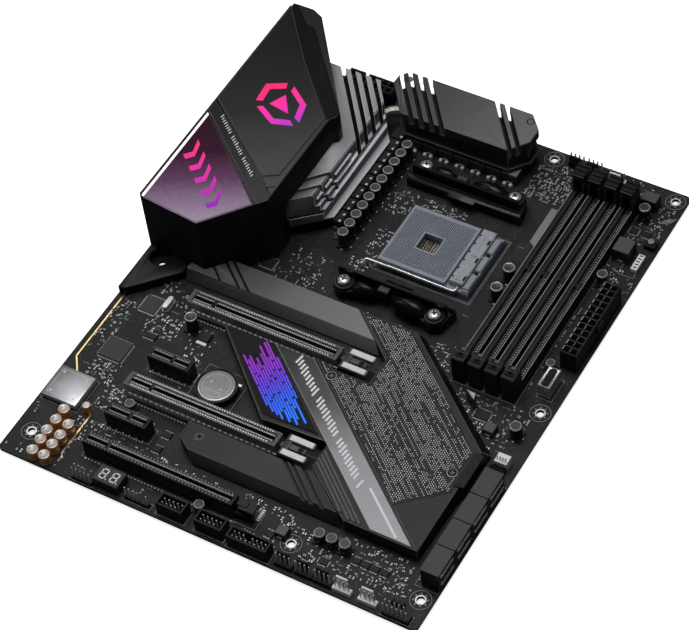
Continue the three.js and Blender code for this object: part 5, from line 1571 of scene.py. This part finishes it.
def build_battery():
    claim(69, 96, 67, 95)
    moulded("battery_holder", "battery_holder", 0.2)
    x, y, top = 82.6, 80.9, 4.4
    cell = Piece("coin_cell_stamped", "coin_cell", replaces=("coin_cell",))
    can = [(9.2, 1.25), (9.9, 1.6), (9.95, top - 0.5), (9.6, top - 0.15), (9.0, top - 0.05), (8.6, top)]
    cell.round(x, y, can, CELL_TOP, 48, NICKEL, (2, 3))
    cell.wall(circle(x, y, 7.6, 40), circle(x, y, 7.35, 40), top - 0.05, top + 0.03, NICKEL, 0.02)
    for dx, dy in ((-3.6, 1.2), (3.6, -1.2)):
        cell.bar((x + dx - 1.0, y + dy), (x + dx + 1.0, y + dy), 0.22, top - 0.05, top + 0.05, NICKEL, 0.03)
    cell.bar((x - 3.6, y + 0.2), (x - 3.6, y + 2.2), 0.22, top - 0.05, top + 0.051, NICKEL, 0.03)
    for k in range(9):
        a, b = (x - 4.4 + 1.1 * k, y - 4.6), (x - 4.0 + 1.1 * k, y - 3.5 + 0.3 * (k % 2))
        cell.bar(a, b, 0.14, top - 0.05, top + 0.04, NICKEL)
    cell.build()
    clip = Piece("coin_cell_clip", "plated_metal")
    clip.box(x + 9.4, x + 12.0, y + 4.6, y + 6.2, 3.4, 4.3, STEEL, 0.1)
    clip.box(x - 12.4, x - 11.4, y - 3.0, y + 3.0, 0.0, 3.2, STEEL, 0.1)
    clip.box(x - 2.0, x + 2.0, y - 12.6, y - 11.6, 0.0, 2.6, STEEL, 0.1)
    clip.build()


def build_codec_shield():
    claim(1, 26, 35, 60)
    softened("audio_codec_shield", "codec_shield_pressed", "metal_can", 0.45, SHIELD_TOP, STEEL, segments=2)
    marks = Piece("codec_shield_marks", "metal_can")
    groove = rectangle(4.6, 21.8, 39.2, 55.6)
    marks.wall(groove, inset(groove, 0.3), 3.95, 4.04, NICKEL, 0.03)
    for k in range(4):
        dimple = [(0.7, 3.9), (0.7, 4.02), (0.5, 4.03)]
        marks.round(6.2 + 13.9 * (k % 2), 40.8 + 13.1 * (k // 2), dimple, NICKEL, 14)
    for k in range(9):
        marks.box(3.6 + 2.2 * k, 4.9 + 2.2 * k, 37.05, 37.25, 0.25, 1.3, BLACK_SATIN)
    marks.build()


# The seven bars of a digit as (start, end) on a 2 x 3.6 cell.
DIGIT_BARS = [((0.2, 0), (1.8, 0)), ((0.2, 1.8), (1.8, 1.8)), ((0.2, 3.6), (1.8, 3.6)), ((0, 0.2), (0, 1.6)),
              ((0, 2.0), (0, 3.4)), ((2, 0.2), (2, 1.6)), ((2, 2.0), (2, 3.4))]


def build_display():
    claim(55, 75, 0, 15)
    softened("debug_display", "debug_display_case", "digit_display", 0.2, BLACK_SATIN, EDGE_GREY)
    digits = Piece("debug_display_digits", "digit_display")
    digits.box(58.4, 72.2, 2.8, 11.8, 6.3, 6.44, CHIP_GREY, 0.05)
    size, top = 1.55, 6.52
    for x in (60.4, 66.8):
        for a, b in DIGIT_BARS:
            lean = 0.08
            start = (x + size * (a[0] + a[1] * lean), 4.5 + size * a[1])
            end = (x + size * (b[0] + b[1] * lean), 4.5 + size * b[1])
            digits.bar(start, end, 0.3, top - 0.15, top, DIGIT, 0.05)
        digits.round(x + size * 2.0 + 1.2, 4.5, [(0.34, top - 0.15), (0.34, top)], DIGIT, 10)
    digits.build()


def build_front_usb():
    claim(226, 240, 147, 167)
    softened("front_usb_c_header", "front_usb_header_shell", "port_shell", 0.2, STEEL, STEEL)
    seam = Piece("front_usb_header_details", "port_shell")
    seam.box(233.2, 236.2, 150.9, 163.1, 9.1, 9.24, PIN_DARK)
    seam.box(234.0, 235.4, 152.0, 162.0, 6.0, 9.3, BLACK_SATIN, 0.1)
    seam.box(230.6, 231.4, 154.0, 160.0, 1.0, 5.0, NICKEL, 0.1)
    seam.build()


# ---- pin headers ------------------------------------------------------------------------------------
PITCH = 2.54
PIN = 0.32
HEADER_FLOOR = 2.5
# One cell of an open header: half its width, half its depth and the notch at its corners.
CELL, NOTCH = 1.25, 0.3


def header_pin(pins, x, y, low, high):
    """A square pin through the board: a bright tip above and a solder end below."""
    pins.block(x, y, PIN, PIN, low, high, TIN, 0.18)
    pins.block(x, y, PIN, PIN, -2.6, SOLDER_TOP, TIN, 0.1)


def pin_block(base, pins, x0, y0, columns, rows, skip=()):
    """An open header: a notched base with square pins."""
    flat = CELL - NOTCH
    notched = [(-flat, -CELL), (flat, -CELL), (CELL, -flat), (CELL, flat),
               (flat, CELL), (-flat, CELL), (-CELL, flat), (-CELL, -flat)]
    for i in range(columns):
        for j in range(rows):
            x, y = x0 + PITCH * i, y0 + PITCH * j
            base.prism([(x + dx, y + dy) for dx, dy in notched], 0.05, HEADER_FLOOR, BLACK, 0.12, EDGE_GREY)
            if (i, j) not in skip:
                header_pin(pins, x, y, HEADER_FLOOR - 0.2, 8.6)
    claim(x0 - 2, x0 + PITCH * columns, y0 - 2, y0 + PITCH * rows)


def shrouded_block(base, pins, x0, x1, y0, y1, columns, skip=()):
    """Two rows of pins inside a keyed wall."""
    outer = rectangle(x0, x1, y0, y1)
    base.wall(outer, inset(outer, 1.0), 0.05, 8.8, BLACK, 0.18, EDGE_GREY)
    # Floor inside the wall, in the painted shadow black.
    base.prism(inset(outer, 0.6), 0.1, 2.0, SHADOW_BLACK)
    mid = (x0 + x1) / 2
    base.box(mid - 2.2, mid + 2.2, y1 - 0.05, y1 + 0.25, 0.4, 7.4, BLACK_SATIN, 0.1)
    start = mid - PITCH * (columns - 1) / 2
    for i in range(columns):
        for j in (-1, 1):
            if (i, j) not in skip:
                header_pin(pins, start + PITCH * i, (y0 + y1) / 2 + j * PITCH / 2, 1.9, 8.0)
    claim(x0 - 1, x1 + 1, y0 - 1, y1 + 1)


def fan_header(base, pins, x0, y0, look, wall_shift=3.0):
    """A low keyed wall behind a row of four pins, or in front of it."""
    length, edge = PITCH * 4, EDGE_GREY if look is BLACK else None
    base.box(x0, x0 + length, y0, y0 + 3.2, 0.05, 2.9, look, 0.2, edge)
    wall = y0 + wall_shift
    base.box(x0 + 1.2, x0 + length - 2.6, wall, wall + 1.1, 0.05, 9.2, look, 0.25, edge)
    for k in range(4):
        header_pin(pins, x0 + PITCH * (k + 0.5), y0 + 1.52, 2.6, 9.6)
    claim(x0 - 1, x0 + length + 1, y0 - 1.5, y0 + 5)


def build_headers():
    base, pins = Piece("pin_header_bases", "pin_header"), Piece("pin_header_pins", "plated_metal")
    pale = Piece("pale_header_bases", "pale_header")
    pin_block(base, pins, 46.3, 2.0, 5, 2, skip=((3, 1),))
    pin_block(base, pins, 77.0, 3.6, 6, 1, skip=((4, 0),))
    shrouded_block(base, pins, 95.9, 111.2, 2.4, 10.2, 5, ((4, -1),))
    shrouded_block(base, pins, 118.2, 134.0, 2.4, 10.2, 5, ((4, -1),))
    shrouded_block(base, pins, 137.5, 160.3, 1.4, 8.6, 8, ((3, 1),))
    for x in (163.7, 175.0, 185.8):
        fan_header(base, pins, x, 2.0, BLACK)
    for x in (196.6, 210.8):
        fan_header(pale, pins, x, 2.0, WHITE)
    pin_block(base, pins, 225.2, 2.2, 6, 2, skip=((5, 1),))
    pin_block(base, pins, 226.4, 9.6, 3, 1)
    for x in (173.8, 184.6):
        fan_header(base, pins, x, 297.8, BLACK, -0.9)
    fan_header(pale, pins, 198.8, 296.0, WHITE, -0.9)
    for k in range(6):
        pale.box(142.5, 144.3, 20.2 + 1.3 * k, 21.1 + 1.3 * k, 0.05, 0.75, WHITE, 0.1)
    build_edge_headers(base, pale, pins)
    base.build()
    pale.build()
    pins.build()


def build_edge_headers(base, pale, pins):
    """Parts near the right edge: a pale four-way socket, a pin comb, a slim label and a button."""
    pale.box(232.3, 239.2, 101.3, 107.3, 0.05, 5.6, WHITE, 0.25)
    for k in range(4):
        pins.box(233.3 + 1.5 * k, 233.9 + 1.5 * k, 102.6, 103.2, 5.4, 8.6, TIN, 0.15)
    for k in range(7):
        base.box(231.0, 239.4, 96.8 + 0.7 * k, 97.15 + 0.7 * k, 0.05, 2.6, BLACK_SATIN, 0.05)
    claim(229, 242, 95, 109)
    claim(235.5, 242, 239, 255)
    pale.prism([(184.3, 237.2), (183.6, 266.0), (180.0, 266.0), (180.2, 240.0)], 0.02, 0.2, GREY_TAB, 0.05)
    claim(178, 186, 235, 268)
    base.box(236.6, 242.4, 261.5, 267.3, 0.05, 3.4, BLACK, 0.25, EDGE_GREY)
    base.round(239.5, 264.4, [(1.7, 3.3), (1.7, 4.6), (1.4, 4.8)], GREY_TAB, 20, CAN_RIM, (1,))
    claim(235, 244, 260, 269)


# ---- printed legends --------------------------------------------------------------------------------
# Printed part references: x, y, how many ticks.
REFERENCES = [
    (45, 8.2, 7), (76, 7.2, 8), (97, 12.0, 9), (119, 12.0, 9), (140, 10.6, 9), (164, 8.2, 8),
    (176, 8.2, 7), (197, 8.2, 9), (211, 8.2, 9), (33, 115, 8), (33, 54, 8), (72, 88, 3), (160, 60, 8),
    (160, 22, 7), (228, 110, 9), (226, 168, 8), (200, 128, 7), (104, 178, 8), (172, 180, 7),
    (176, 234, 7), (118, 264, 8), (152, 264, 9), (100, 240, 8), (186, 132, 8), (210, 134, 8), (75, 63, 6),
    (34, 44, 6), (188, 22, 7), (172, 292.5, 9), (198, 292.0, 9), (224, 20.6, 7), (12, 100, 6),
    (14, 30, 6), (9, 66, 7),
]


def build_prints(rng):
    marks = Piece("printed_legends", "printed_marks")
    for x in MEMORY_X:
        print_frame(marks, x - 4.4, x + 4.4, 139.6, 290.5, 0.18)
    for inner in (0, 0.8):
        print_frame(marks, 114.0 - inner, 171.2 + inner, 188.0 - inner, 234.6 + inner)
    for y in LONG_ROWS:
        print_frame(marks, 41.8, 152.4 if y > 30 else 145, y - 5.4, y + 5.4)
    for y in SHORT_ROWS:
        print_frame(marks, 41.8, 69.2, y - 4.8, y + 4.8)
    for x0, x1, y0, y1 in ((44.4, 58.2, 0.4, 6.4), (75.2, 91.8, 1.8, 5.6), (94.9, 112.2, 1.6, 11.0),
                           (117.2, 135.0, 1.6, 11.0), (136.6, 161.2, 0.7, 9.3), (223.6, 239.6, 0.6, 6.4),
                           (230.6, 243.4, 22.8, 92.6), (231.6, 240.4, 240.4, 255.0), (69.6, 95.4, 67.8, 94.2),
                           (1.8, 24.6, 36.4, 58.4), (230.4, 239.4, 149.4, 164.8)):
        print_frame(marks, x0, x1, y0, y1)
    for x, y, count in REFERENCES:
        if free(x, x + count * 0.6, y, y + 0.9):
            print_ticks(marks, rng, x, y, count)
    for k in range(7):
        a = Vector((236.4 + 0.85 * k, 280.6 + 0.5 * k))
        marks.bar(a, a + Vector((1.8, 4.2)), 0.22, 0.0, INK, GREY_TAB)
    for k in range(46):
        x = rng.uniform(28, 236)
        y = rng.uniform(4, 300)
        count = rng.randrange(3, 7)
        along = rng.choice(("x", "y"))
        if free(x - 1, x + 4.5, y - 1, y + 4.5):
            print_ticks(marks, rng, x, y, count, along, 0.7)
            length, width = (count * 0.6, 0.8) if along == "x" else (0.8, count * 0.6)
            claim(x, x + length, y, y + width)
    marks.build()


def build_underside(rng):
    """The solder side: joints of the sockets, small parts scattered away from the processor, and a printed
    ring on the backplate.
    """
    joints = Piece("solder_side_joints", "plated_metal")

    def joint(x, y):
        joints.round(x, y, [(0.62, SOLDER_TOP), (0.62, -1.66), (0.38, -1.95), (0.22, -2.5)], TIN, 8)

    for x in MEMORY_X:
        for j in range(72):
            y = 145.5 + 1.8 * j
            for low in (x - 1.9 + 1.2 * (j % 2), x + 1.3 - 1.2 * (j % 2)):
                joints.box(low, low + 0.6, y, y + 0.6, -1.8, SOLDER_TOP, TIN)
    for x0, y0, columns, rows in ((234.9, 173.9, 2, 12), (50.6, 294.6, 4, 2)):
        for x in row(x0, POWER_PITCH, columns):
            for y in row(y0, POWER_PITCH, rows):
                joint(x, y)
    for x, y0 in ((8.0, 150.5), (8.0, 197), (8.0, 214), (8.0, 236), (8.0, 253)):
        for j in range(9):
            joint(x + 3.0 * (j % 3), y0 + 1.5 * j)
    joints.build()
    chips = Piece("solder_side_chips", "chip_package")
    for k in range(150):
        x, y = rng.uniform(30, 228), rng.uniform(12, 292)
        at_hole = any(abs(x - hx) <= 8 and abs(y - hy) <= 8 for hx, hy in HOLES)
        if at_hole or (96 < x < 176 and 154 < y < 270):
            continue
        long, wide = (1.0, 0.5) if rng.random() < 0.5 else (0.5, 1.0)
        look = rng.choice((CHIP, CERAMIC, CHIP_GREY))
        chips.block(x, y, long / 2, wide / 2, -2.1, -1.62, look, 0.0)
    chips.build()
    rim = Piece("backplate_printed_rim", "backplate")
    rim.wall(circle(CPU_X, CPU_Y, 9.6, 48), circle(CPU_X, CPU_Y, 9.2, 48), -3.5, -3.44, DARK_EDGE)
    rim.build()


# ---- everything in order ----------------------------------------------------------------------------
def build_all():
    rng = random.Random(1911)
    build_mount_rings()
    repaint("pcb", MASK)
    build_traces()
    build_socket_cover()
    build_socket_base(rng)
    build_lever()
    build_brackets()
    build_memory()
    build_expansion_slots()
    build_card_latches()
    build_shroud()
    build_rear_ports()
    build_power_heatsinks()
    build_chipset_cover(rng)
    build_fan()
    build_storage_plates()
    build_drive_sockets()
    build_power_sockets()
    build_battery()
    build_codec_shield()
    build_display()
    build_front_usb()
    build_headers()
    build_capacitors()
    build_coils()
    build_chips()
    build_underside(rng)
    build_prints(rng)
    build_scatter(rng)


add_camera()
add_lights()
add_floor()
build_all()

# ---- last update of the view layer ------------------------------------------------------------------
bpy.context.view_layer.update()
